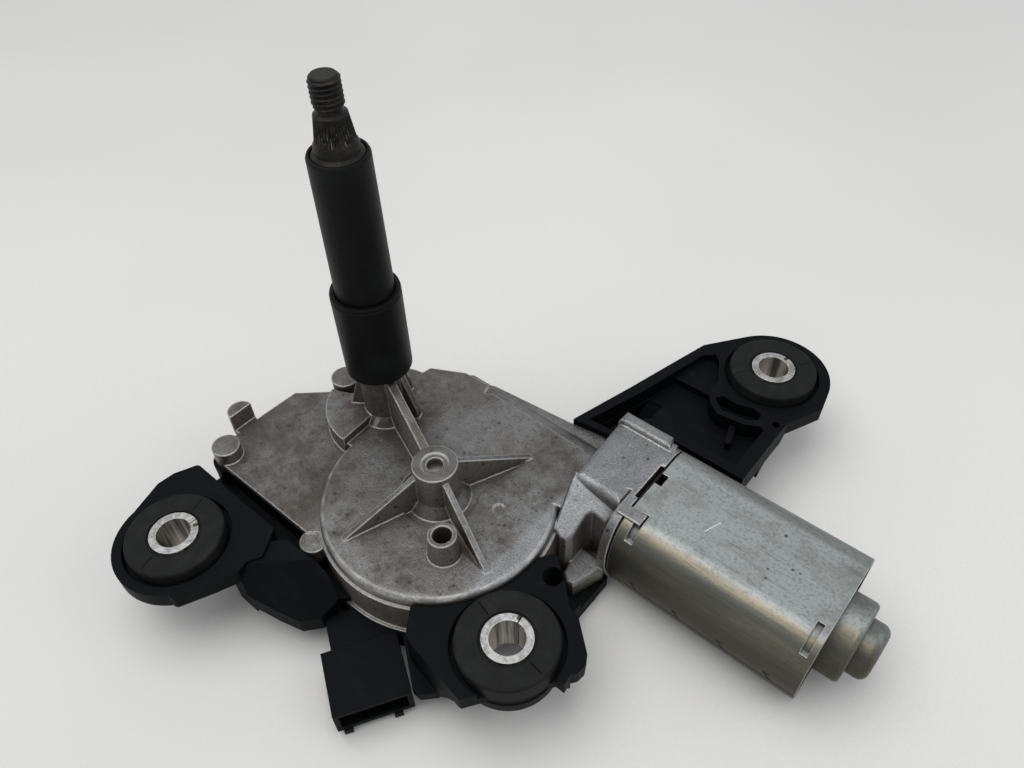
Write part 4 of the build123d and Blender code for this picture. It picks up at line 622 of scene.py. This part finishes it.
def soft_rubber(look):
    """Grommet rubber: dull, faintly dusty, with a fine pitted skin."""
    finish = Finish("grommet rubber")
    smooth, edge = finish.rounded(look.rounding)
    pits = finish.noise(0.0006, detail=4.0, rough=0.65)
    clouds = finish.noise(0.006, detail=4.0)
    dust = finish.times(finish.steps(clouds, 0.40, 0.75), finish.steps(pits, 0.4, 0.7, 0.4, 1.0))
    dust = finish.times(dust, 0.55)
    dust = finish.sum("MAXIMUM", dust, finish.steps(edge, 0.05, 0.45, 0.0, 0.30))
    rubber = finish.mix(dust, look.rubber, look.bloom)
    slits = []
    for name, (x, y) in GROMMETS.items():
        for angle in SLIT_ANGLES[name]:
            ends = spoke(x, y, angle, SLIT_REACH)
            slits.append(finish.stroke(*ends, MARK_WIDTHS["slit"]))
    slit = finish.any_of(slits)
    rubber = finish.mix(slit, rubber, shade(look.rubber, 0.25))
    dull = finish.sum("MULTIPLY_ADD", clouds, 0.18, 0.48)
    relief = finish.raise_by(pits, 0.00010, smooth, strength=0.8)
    relief = finish.raise_by(finish.sum("SUBTRACT", 1.0, slit), 0.0004, relief)
    return finish.finish(Base_Color=rubber, Roughness=dull, Normal=relief, Specular_IOR_Level=0.08)


def tube_plastic(look):
    """Extruded tube: fine lines along it, faint rub marks round the ends."""
    finish = Finish("tube plastic")
    smooth, edge = finish.rounded(look.rounding)
    drawn = finish.noise(0.0006, detail=3.0, stretch=(1.0, 1.0, 0.05))
    clouds = finish.noise(0.010, detail=4.0)
    pits = finish.noise(0.0005, detail=2.0)
    rub = finish.times(finish.steps(clouds, 0.45, 0.75), 0.30)
    rub = finish.sum("MAXIMUM", rub, finish.steps(edge, 0.04, 0.35, 0.0, 0.45))
    tube = finish.mix(rub, look.tube, look.scuff)
    dull = finish.sum("MULTIPLY_ADD", drawn, 0.14, 0.33)
    dull = finish.sum("ADD", dull, finish.times(clouds, 0.12))
    relief = finish.raise_by(finish.sum("ADD", drawn, finish.times(pits, 0.5)), 0.00005, smooth)
    return finish.finish(Base_Color=tube, Roughness=dull, Normal=relief, Specular_IOR_Level=0.10)


def black_oxide(look):
    """Blackened steel: brown between the teeth, painted shade deep in the grooves, bright lines
    down the serrations of the cone.
    """
    finish = Finish("black oxide steel")
    smooth, edge = finish.rounded(0.0002)
    corner = finish.steps(finish.corners(0.0010), 0.20, 0.75)
    clouds = finish.noise(0.003, detail=5.0)
    fine = finish.noise(0.0004, detail=3.0)
    steel = finish.mix(finish.times(finish.steps(clouds, 0.45, 0.7), 0.5), look.black, look.rust)
    # Painted shade deep in the grooves of the thread and the flutes.
    steel = finish.mix(corner, steel, shade(look.black, 0.3))
    bare = finish.times(finish.steps(edge, 0.04, 0.25), finish.steps(clouds, 0.46, 0.62, 0.0, 0.35))
    around = finish.sum("ARCTAN2", finish.axis("Y"), finish.axis("X"))
    tooth = finish.sum("FRACT", finish.times(around, look.flutes / (2 * math.pi)))
    crest = finish.steps(finish.sum("ABSOLUTE", finish.sum("SUBTRACT", tooth, 0.5)), 0.40, 0.49)
    low_half = finish.steps(finish.axis("Z"), *BARE_FLUTES_TOP)
    above_foot = finish.steps(finish.axis("Z"), *BARE_FLUTES_FOOT)
    chosen = finish.steps(finish.noise(0.0016, detail=2.0), 0.49, 0.62)
    lines = finish.times(finish.times(crest, low_half), finish.times(above_foot, chosen))
    steel = finish.mix(finish.any_of([bare, lines]), steel, look.rubbed)
    dull = finish.sum("MULTIPLY_ADD", fine, 0.2, 0.36)
    relief = finish.raise_by(fine, 0.00004, smooth)
    return finish.finish(
        Base_Color=steel, Metallic=0.6, Roughness=dull, Normal=relief, Specular_IOR_Level=0.3
    )


def ground_steel(name, tone, along=(1.0, 1.0, 0.08)):
    """Ground or pressed steel: fine grinding lines under a thin film of grease."""
    finish = Finish(name)
    lines = finish.noise(0.0005, detail=3.0, stretch=along)
    clouds = finish.noise(0.004, detail=3.0)
    darker = shade(tone, 0.6)
    steel = finish.mix(finish.steps(clouds, 0.35, 0.75, 0.0, 0.6), tone, darker)
    dull = finish.sum("MULTIPLY_ADD", lines, 0.20, 0.20)
    relief = finish.raise_by(lines, 0.00003, strength=0.3)
    return finish.finish(Base_Color=steel, Metallic=1.0, Roughness=dull, Normal=relief)


def moulded(name, tone, rough=0.42, grain=0.0008, through=0.0, cloudy=0.72):
    """Plain moulding or pressed powder: cloudy colour over a fine grain."""
    finish = Finish(name)
    smooth, edge = finish.rounded(0.0003)
    clouds = finish.noise(0.005, detail=4.0)
    fine = finish.noise(grain, detail=3.0)
    darker = shade(tone, cloudy)
    lighter = [min(1.0, value * 1.35) for value in tone]
    body = finish.mix(finish.steps(clouds, 0.35, 0.7), tone, darker)
    body = finish.mix(finish.steps(edge, 0.05, 0.4, 0.0, 0.5), body, lighter)
    dull = finish.sum("MULTIPLY_ADD", fine, 0.18, rough - 0.09)
    relief = finish.raise_by(fine, 0.00006, smooth)
    return finish.finish(
        Base_Color=body,
        Roughness=dull,
        Normal=relief,
        Subsurface_Weight=through,
        Subsurface_Scale=0.001,
    )


def wound_wire(tone):
    """Enamelled wire lying side by side, with painted shade in the grooves between the turns."""
    finish = Finish("enamelled wire")
    wave = finish.add("ShaderNodeTexWave", bands_direction="X", wave_profile="SIN")
    finish.feed(wave.inputs["Vector"], finish.place)
    finish.feed(wave.inputs["Scale"], 450.0)
    finish.feed(wave.inputs["Distortion"], 1.5)
    # Painted shade in the grooves between neighbouring turns of wire.
    gap_shade = finish.steps(wave.outputs["Fac"], 0.0, 0.35)
    darker = shade(tone, 0.35)
    wire = finish.mix(gap_shade, darker, tone)
    dull = finish.sum("MULTIPLY_ADD", finish.noise(0.002), 0.2, 0.18)
    relief = finish.raise_by(wave.outputs["Fac"], 0.0002)
    return finish.finish(
        Base_Color=wire, Metallic=0.6, Roughness=dull, Normal=relief, Coat_Weight=0.4
    )


def printed_board(look):
    """Contact board: mask over glass weave, with tinned tracks in arcs round the wheel."""
    finish = Finish("contact board")
    weave = finish.cells(0.0006, feature="DISTANCE_TO_EDGE")
    reach = finish.radius_from(*WHEEL_CENTRE)
    rings = finish.sum("PINGPONG", reach, 0.0015)
    track = finish.steps(rings, 0.0009, 0.0010)
    broken = finish.steps(finish.noise(0.006, detail=1.0), 0.47, 0.5)
    track = finish.times(track, broken)
    mask = finish.mix(finish.steps(weave, 0.0, 0.2), shade(look.board, 0.7), look.board)
    face = finish.mix(track, mask, look.tin)
    dull = finish.steps(track, 0.0, 1.0, 0.42, 0.30)
    relief = finish.raise_by(track, 0.00006)
    plated = finish.times(track, 0.8)
    return finish.finish(Base_Color=face, Metallic=plated, Roughness=dull, Normal=relief)


def paint(material, *names):
    """Give carried-over nodes a material."""
    for name in names:
        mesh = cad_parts[name].data
        mesh.materials.clear()
        mesh.materials.append(material)


def piece(name, mesh, material, body, slot, *stands_for):
    """Add a mesh as a piece that moves with a body."""
    added = bpy.data.objects.new(name, mesh)
    bpy.context.scene.collection.objects.link(added)
    mesh.materials.append(material)
    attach(added, body)
    if stands_for:
        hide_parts(*stands_for)
    return added


def turned_mesh(name, rows, around, radius_at):
    """Closed mesh of turned rows. radius_at gives the radius at a row and an angle."""
    shape = bmesh.new()
    rings = []
    for height, nominal in rows:
        ring = []
        for step in range(around):
            angle = 2 * math.pi * step / around
            radius = radius_at(height, nominal, angle)
            corner = (radius * math.cos(angle), radius * math.sin(angle), height)
            ring.append(shape.verts.new(corner))
        rings.append(ring)
    for lower, upper in zip(rings, rings[1:]):
        for step in range(around):
            after = (step + 1) % around
            shape.faces.new((lower[step], lower[after], upper[after], upper[step]))
    shape.faces.new(list(reversed(rings[0])))
    shape.faces.new(rings[-1])
    mesh = bpy.data.meshes.new(name)
    shape.to_mesh(mesh)
    shape.free()
    for face in mesh.polygons:
        face.use_smooth = True
    mesh.set_sharp_from_angle(angle=math.radians(38))
    return mesh


# ==== operators ===================================================================================
class GEARMOTOR_OT_housing(bpy.types.Operator):
    """Give the gear housing and the earth clip their cast finish"""

    bl_idname = "gearmotor.housing"
    bl_label = "Cast Housing"
    bl_options = {"REGISTER", "UNDO"}

    def execute(self, context):
        paint(cast_alloy(context.scene.gear_motor.casting), "gear_housing", "earth_clip")
        return {"FINISHED"}


class GEARMOTOR_OT_bracket(bpy.types.Operator):
    """Give the bracket cover and the connector their black moulded finish"""

    bl_idname = "gearmotor.bracket"
    bl_label = "Bracket and Connector"
    bl_options = {"REGISTER", "UNDO"}

    def execute(self, context):
        look = context.scene.gear_motor.moulding
        paint(black_plastic(look), "bracket_cover", "connector_shell")
        return {"FINISHED"}


class GEARMOTOR_OT_grommets(bpy.types.Operator):
    """Give the grommets their rubber and the rolled sleeves in them their steel"""

    bl_idname = "gearmotor.grommets"
    bl_label = "Grommets and Sleeves"
    bl_options = {"REGISTER", "UNDO"}

    def execute(self, context):
        settings = context.scene.gear_motor
        rubber = soft_rubber(settings.moulding)
        rolled = rolled_sleeve(settings.can)
        for place in GROMMETS:
            paint(rubber, f"grommet_{place}")
            paint(rolled, f"bushing_{place}")
        return {"FINISHED"}


class GEARMOTOR_OT_can(bpy.types.Operator):
    """Give the motor can, its end cap and the screws their zinc, and the seal its rubber"""

    bl_idname = "gearmotor.can"
    bl_label = "Motor Can"
    bl_options = {"REGISTER", "UNDO"}

    def execute(self, context):
        settings = context.scene.gear_motor
        paint(zinc_sheet("can zinc", settings.can, marked=True), "motor_can")
        pressed = zinc_sheet("pressed zinc", settings.can, along=(1.0, 0.6, 0.6))
        paint(pressed, "end_cap", "cover_screws", "short_screws")
        paint(soft_rubber(settings.moulding), "can_seal")
        return {"FINISHED"}


class GEARMOTOR_OT_tube(bpy.types.Operator):
    """Give the sleeve and the collar round the stem their black plastic"""

    bl_idname = "gearmotor.tube"
    bl_label = "Spindle Sleeve"
    bl_options = {"REGISTER", "UNDO"}

    def execute(self, context):
        paint(tube_plastic(context.scene.gear_motor.moulding), "spindle_sleeve", "stem_collar")
        return {"FINISHED"}


class GEARMOTOR_OT_spindle(bpy.types.Operator):
    """Turn the output spindle with its serrated cone and its thread"""

    bl_idname = "gearmotor.spindle"
    bl_label = "Output Spindle"
    bl_options = {"REGISTER", "UNDO"}

    def execute(self, context):
        look = context.scene.gear_motor.spindle
        rows = list(SPINDLE_SHANK)
        for step in range(CONE_ROWS + 1):
            part = step / CONE_ROWS
            rows.append((CONE_LOW + (CONE_HIGH - CONE_LOW) * part, CONE_RADIUS - CONE_TAPER * part))
        rows += UNDERCUT
        for step in range(THREAD_ROWS + 1):
            part = step / THREAD_ROWS
            height = THREAD_LOW + (THREAD_HIGH - THREAD_LOW) * part
            chamfer = min(look.crest, THREAD_TIP_RADIUS + max(0.0, THREAD_HIGH - height))
            rows.append((height, chamfer))

        def radius_at(height, nominal, angle):
            """Radius along the teeth of the cone and the thread, and plain between them."""
            if CONE_LOW < height < CONE_HIGH:
                wave = abs((angle * look.flutes / (2 * math.pi)) % 1.0 - 0.5) * 2
                return nominal - look.flute_depth * wave
            if THREAD_LOW <= height < THREAD_HIGH - 0.00001:
                phase = (height / look.pitch - angle / (2 * math.pi)) % 1.0
                wave = min(1.0, max(0.0, abs(phase - 0.5) * 2.6 - 0.15))
                return min(nominal, look.crest - (look.crest - look.root) * wave)
            return nominal

        name = "output_spindle_turned"
        mesh = turned_mesh(name, rows, SPINDLE_SIDES, radius_at)
        piece(name, mesh, black_oxide(look), "spindle", "black_steel", "output_spindle")
        return {"FINISHED"}


class GEARMOTOR_OT_gears(bpy.types.Operator):
    """Give the gears, links, pins, bushes and bearing inside the housing their finishes"""

    bl_idname = "gearmotor.gears"
    bl_label = "Gears and Links"
    bl_options = {"REGISTER", "UNDO"}

    def execute(self, context):
        look = context.scene.gear_motor.gears
        steel = ground_steel("ground steel", look.steel)
        paint(steel, "wheel_axle", "crank_pin", "rocker_pin", "ball_bearing", "axle_clip")
        pressed = ground_steel("pressed steel", look.steel, along=(1.0, 0.15, 1.0))
        paint(pressed, "rocker_link", "sector_link", "spindle_pinion", "spindle_clip")
        paint(moulded("black washer", look.ferrite, rough=0.5), "spindle_washer")
        bronze = moulded("sintered bronze", look.bronze, rough=0.38, grain=0.0004)
        bronze.node_tree.nodes["Principled BSDF"].inputs["Metallic"].default_value = 0.9
        paint(bronze, "spindle_bush_lower", "spindle_bush_upper", "tail_bush", "tip_bush")
        nylon = moulded("nylon", look.nylon, rough=0.40, through=0.15, cloudy=0.93)
        paint(nylon, "worm_wheel", "thrust_pad")
        copper_sheet = ground_steel("copper sheet", look.copper, along=(0.2, 1.0, 1.0))
        paint(copper_sheet, "contact_disc", "contact_springs")
        return {"FINISHED"}


class GEARMOTOR_OT_armature(bpy.types.Operator):
    """Give the armature, the brush gear and the magnets their finishes"""

    bl_idname = "gearmotor.armature"
    bl_label = "Armature and Brushes"
    bl_options = {"REGISTER", "UNDO"}

    def execute(self, context):
        look = context.scene.gear_motor.gears
        paint(ground_steel("shaft steel", look.steel, along=(0.1, 1.0, 1.0)), "armature_shaft")
        dark_steel = shade(look.steel, 0.5)
        paint(ground_steel("core laminations", dark_steel, along=(6.0, 0.5, 0.5)), "armature_core")
        paint(wound_wire(look.enamel), "armature_windings")
        copper = ground_steel("commutator copper", look.copper, along=(0.1, 1.0, 1.0))
        paint(copper, "commutator_bars")
        resin = moulded("phenolic resin", look.resin, rough=0.45)
        paint(resin, "commutator_hub", "brush_carrier")
        paint(moulded("brush carbon", look.carbon, rough=0.50, grain=0.0003), "brushes")
        paint(moulded("magnet ferrite", look.ferrite, rough=0.55, grain=0.0005), "magnets")
        return {"FINISHED"}


class GEARMOTOR_OT_contacts(bpy.types.Operator):
    """Give the contact board and the connector's pins their finishes"""

    bl_idname = "gearmotor.contacts"
    bl_label = "Board and Pins"
    bl_options = {"REGISTER", "UNDO"}

    def execute(self, context):
        look = context.scene.gear_motor.gears
        paint(printed_board(look), "contact_board")
        paint(ground_steel("tin plate", look.tin, along=(0.3, 0.3, 1.0)), "connector_pins")
        return {"FINISHED"}


class GEARMOTOR_OT_stage(bpy.types.Operator):
    """Set the pale floor, the soft lights and the camera"""

    bl_idname = "gearmotor.stage"
    bl_label = "Floor, Lights and Camera"
    bl_options = {"REGISTER", "UNDO"}

    def execute(self, context):
        scene = context.scene
        look = scene.gear_motor.stage
        self.lay_floor(look)
        self.hang_lamp("key lamp", KEY_PLACE, KEY_SIZE, look.key, (1.0, 0.99, 0.97))
        self.hang_lamp("fill lamp", FILL_PLACE, FILL_SIZE, look.fill, (0.97, 0.985, 1.0))
        world = scene.world or bpy.data.worlds.new("studio")
        scene.world = world
        world.use_nodes = True
        self.light_sky(world.node_tree, look.sky)
        scene.view_settings.view_transform = "Standard"
        self.set_camera(scene, look)
        return {"FINISHED"}

    def light_sky(self, tree, strength):
        """Light that grows from the horizon to overhead, with a pale backdrop where it is seen."""
        sky = tree.nodes["Background"]
        sky.inputs["Color"].default_value = (0.98, 0.99, 1.0, 1.0)
        way = tree.nodes.new("ShaderNodeTexCoord")
        parts = tree.nodes.new("ShaderNodeSeparateXYZ")
        rise = tree.nodes.new("ShaderNodeMapRange")
        rise.inputs["From Max"].default_value = 0.9
        rise.inputs["To Min"].default_value = strength * 0.5
        rise.inputs["To Max"].default_value = strength
        tree.links.new(way.outputs["Generated"], parts.inputs[0])
        tree.links.new(parts.outputs["Z"], rise.inputs["Value"])
        rays = tree.nodes.new("ShaderNodeLightPath")
        seen = tree.nodes.new("ShaderNodeMix")
        seen.inputs["B"].default_value = BACKDROP
        direct = rays.outputs["Is Camera Ray"]
        for kind in ("Is Glossy Ray", "Is Transmission Ray"):
            either = tree.nodes.new("ShaderNodeMath")
            either.operation = "MAXIMUM"
            tree.links.new(direct, either.inputs[0])
            tree.links.new(rays.outputs[kind], either.inputs[1])
            direct = either.outputs[0]
        tree.links.new(direct, seen.inputs["Factor"])
        tree.links.new(rise.outputs[0], seen.inputs["A"])
        tree.links.new(seen.outputs["Result"], sky.inputs["Strength"])

    def lay_floor(self, look):
        """Large sheet under the part."""
        mesh = bpy.data.meshes.new("floor")
        corners = [(x * FLOOR_HALF, y * FLOOR_HALF, 0.0) for x, y in FLOOR_CORNERS]
        mesh.from_pydata(corners, [], [(0, 1, 2, 3)])
        floor = bpy.data.objects.new("floor", mesh)
        floor.location.z = CAD_LOW[2] - FLOOR_GAP
        bpy.context.scene.collection.objects.link(floor)
        finish = Finish("floor sheet")
        grain = finish.noise(0.0012, detail=3.0)
        clouds = finish.noise(0.25, detail=2.0)
        darker = shade(look.floor, 0.93)
        sheet = finish.mix(finish.steps(clouds, 0.3, 0.7), look.floor, darker)
        sheet = finish.mix(finish.steps(grain, 0.3, 0.75, 0.0, 0.5), sheet, darker)
        relief = finish.raise_by(grain, 0.0002, strength=0.5)
        mesh.materials.append(finish.finish(Base_Color=sheet, Roughness=0.75, Normal=relief))

    def hang_lamp(self, name, place, size, power, tint):
        """Square soft lamp aimed at the part."""
        lamp = bpy.data.lights.new(name, "AREA")
        lamp.shape = "SQUARE"
        lamp.size = size
        lamp.energy = power
        lamp.color = tint
        holder = bpy.data.objects.new(name, lamp)
        target = Vector(LAMP_TARGET)
        holder.location = place
        holder.rotation_euler = (target - Vector(place)).to_track_quat("-Z", "Y").to_euler()
        bpy.context.scene.collection.objects.link(holder)

    def set_camera(self, scene, look):
        """Camera at the viewing angle of a part lying on a table."""
        right = Vector(CAMERA_RIGHT).normalized()
        forward = Vector(CAMERA_FORWARD).normalized()
        up = right.cross(forward).normalized()
        right = forward.cross(up).normalized()
        camera = bpy.data.cameras.new("camera")
        camera.lens = look.lens
        camera.sensor_width = 36.0
        camera.clip_start = 0.01
        holder = bpy.data.objects.new("camera", camera)
        turned = Matrix((right, up, -forward)).transposed().to_4x4()
        holder.matrix_world = Matrix.Translation(CAMERA_PLACE) @ turned
        scene.collection.objects.link(holder)
        scene.camera = holder


OPERATORS = (
    GEARMOTOR_OT_stage,
    GEARMOTOR_OT_housing,
    GEARMOTOR_OT_bracket,
    GEARMOTOR_OT_grommets,
    GEARMOTOR_OT_can,
    GEARMOTOR_OT_tube,
    GEARMOTOR_OT_spindle,
    GEARMOTOR_OT_gears,
    GEARMOTOR_OT_armature,
    GEARMOTOR_OT_contacts,
)


class GEARMOTOR_PT_panel(bpy.types.Panel):
    """Lists the pieces of the gear motor"""

    bl_idname = "GEARMOTOR_PT_panel"
    bl_label = "Gear Motor"
    bl_space_type = "VIEW_3D"
    bl_region_type = "UI"
    bl_category = "Gear Motor"

    def draw(self, context):
        for operator in OPERATORS:
            self.layout.operator(operator.bl_idname)


CLASSES = (
    GEARMOTOR_PG_casting,
    GEARMOTOR_PG_can,
    GEARMOTOR_PG_moulding,
    GEARMOTOR_PG_spindle,
    GEARMOTOR_PG_gears,
    GEARMOTOR_PG_stage,
    GEARMOTOR_PG_settings,
    *OPERATORS,
    GEARMOTOR_PT_panel,
)


def register():
    """Add the classes and the scene's settings."""
    for cls in CLASSES:
        bpy.utils.register_class(cls)
    bpy.types.Scene.gear_motor = PointerProperty(type=GEARMOTOR_PG_settings)


def unregister():
    """Take the settings and the classes away."""
    del bpy.types.Scene.gear_motor
    for cls in reversed(CLASSES):
        bpy.utils.unregister_class(cls)


def main():
    """Dress the whole motor."""
    register()
    for operator in OPERATORS:
        group, name = operator.bl_idname.split(".")
        getattr(getattr(bpy.ops, group), name)()


if __name__ == "__main__":
    main()
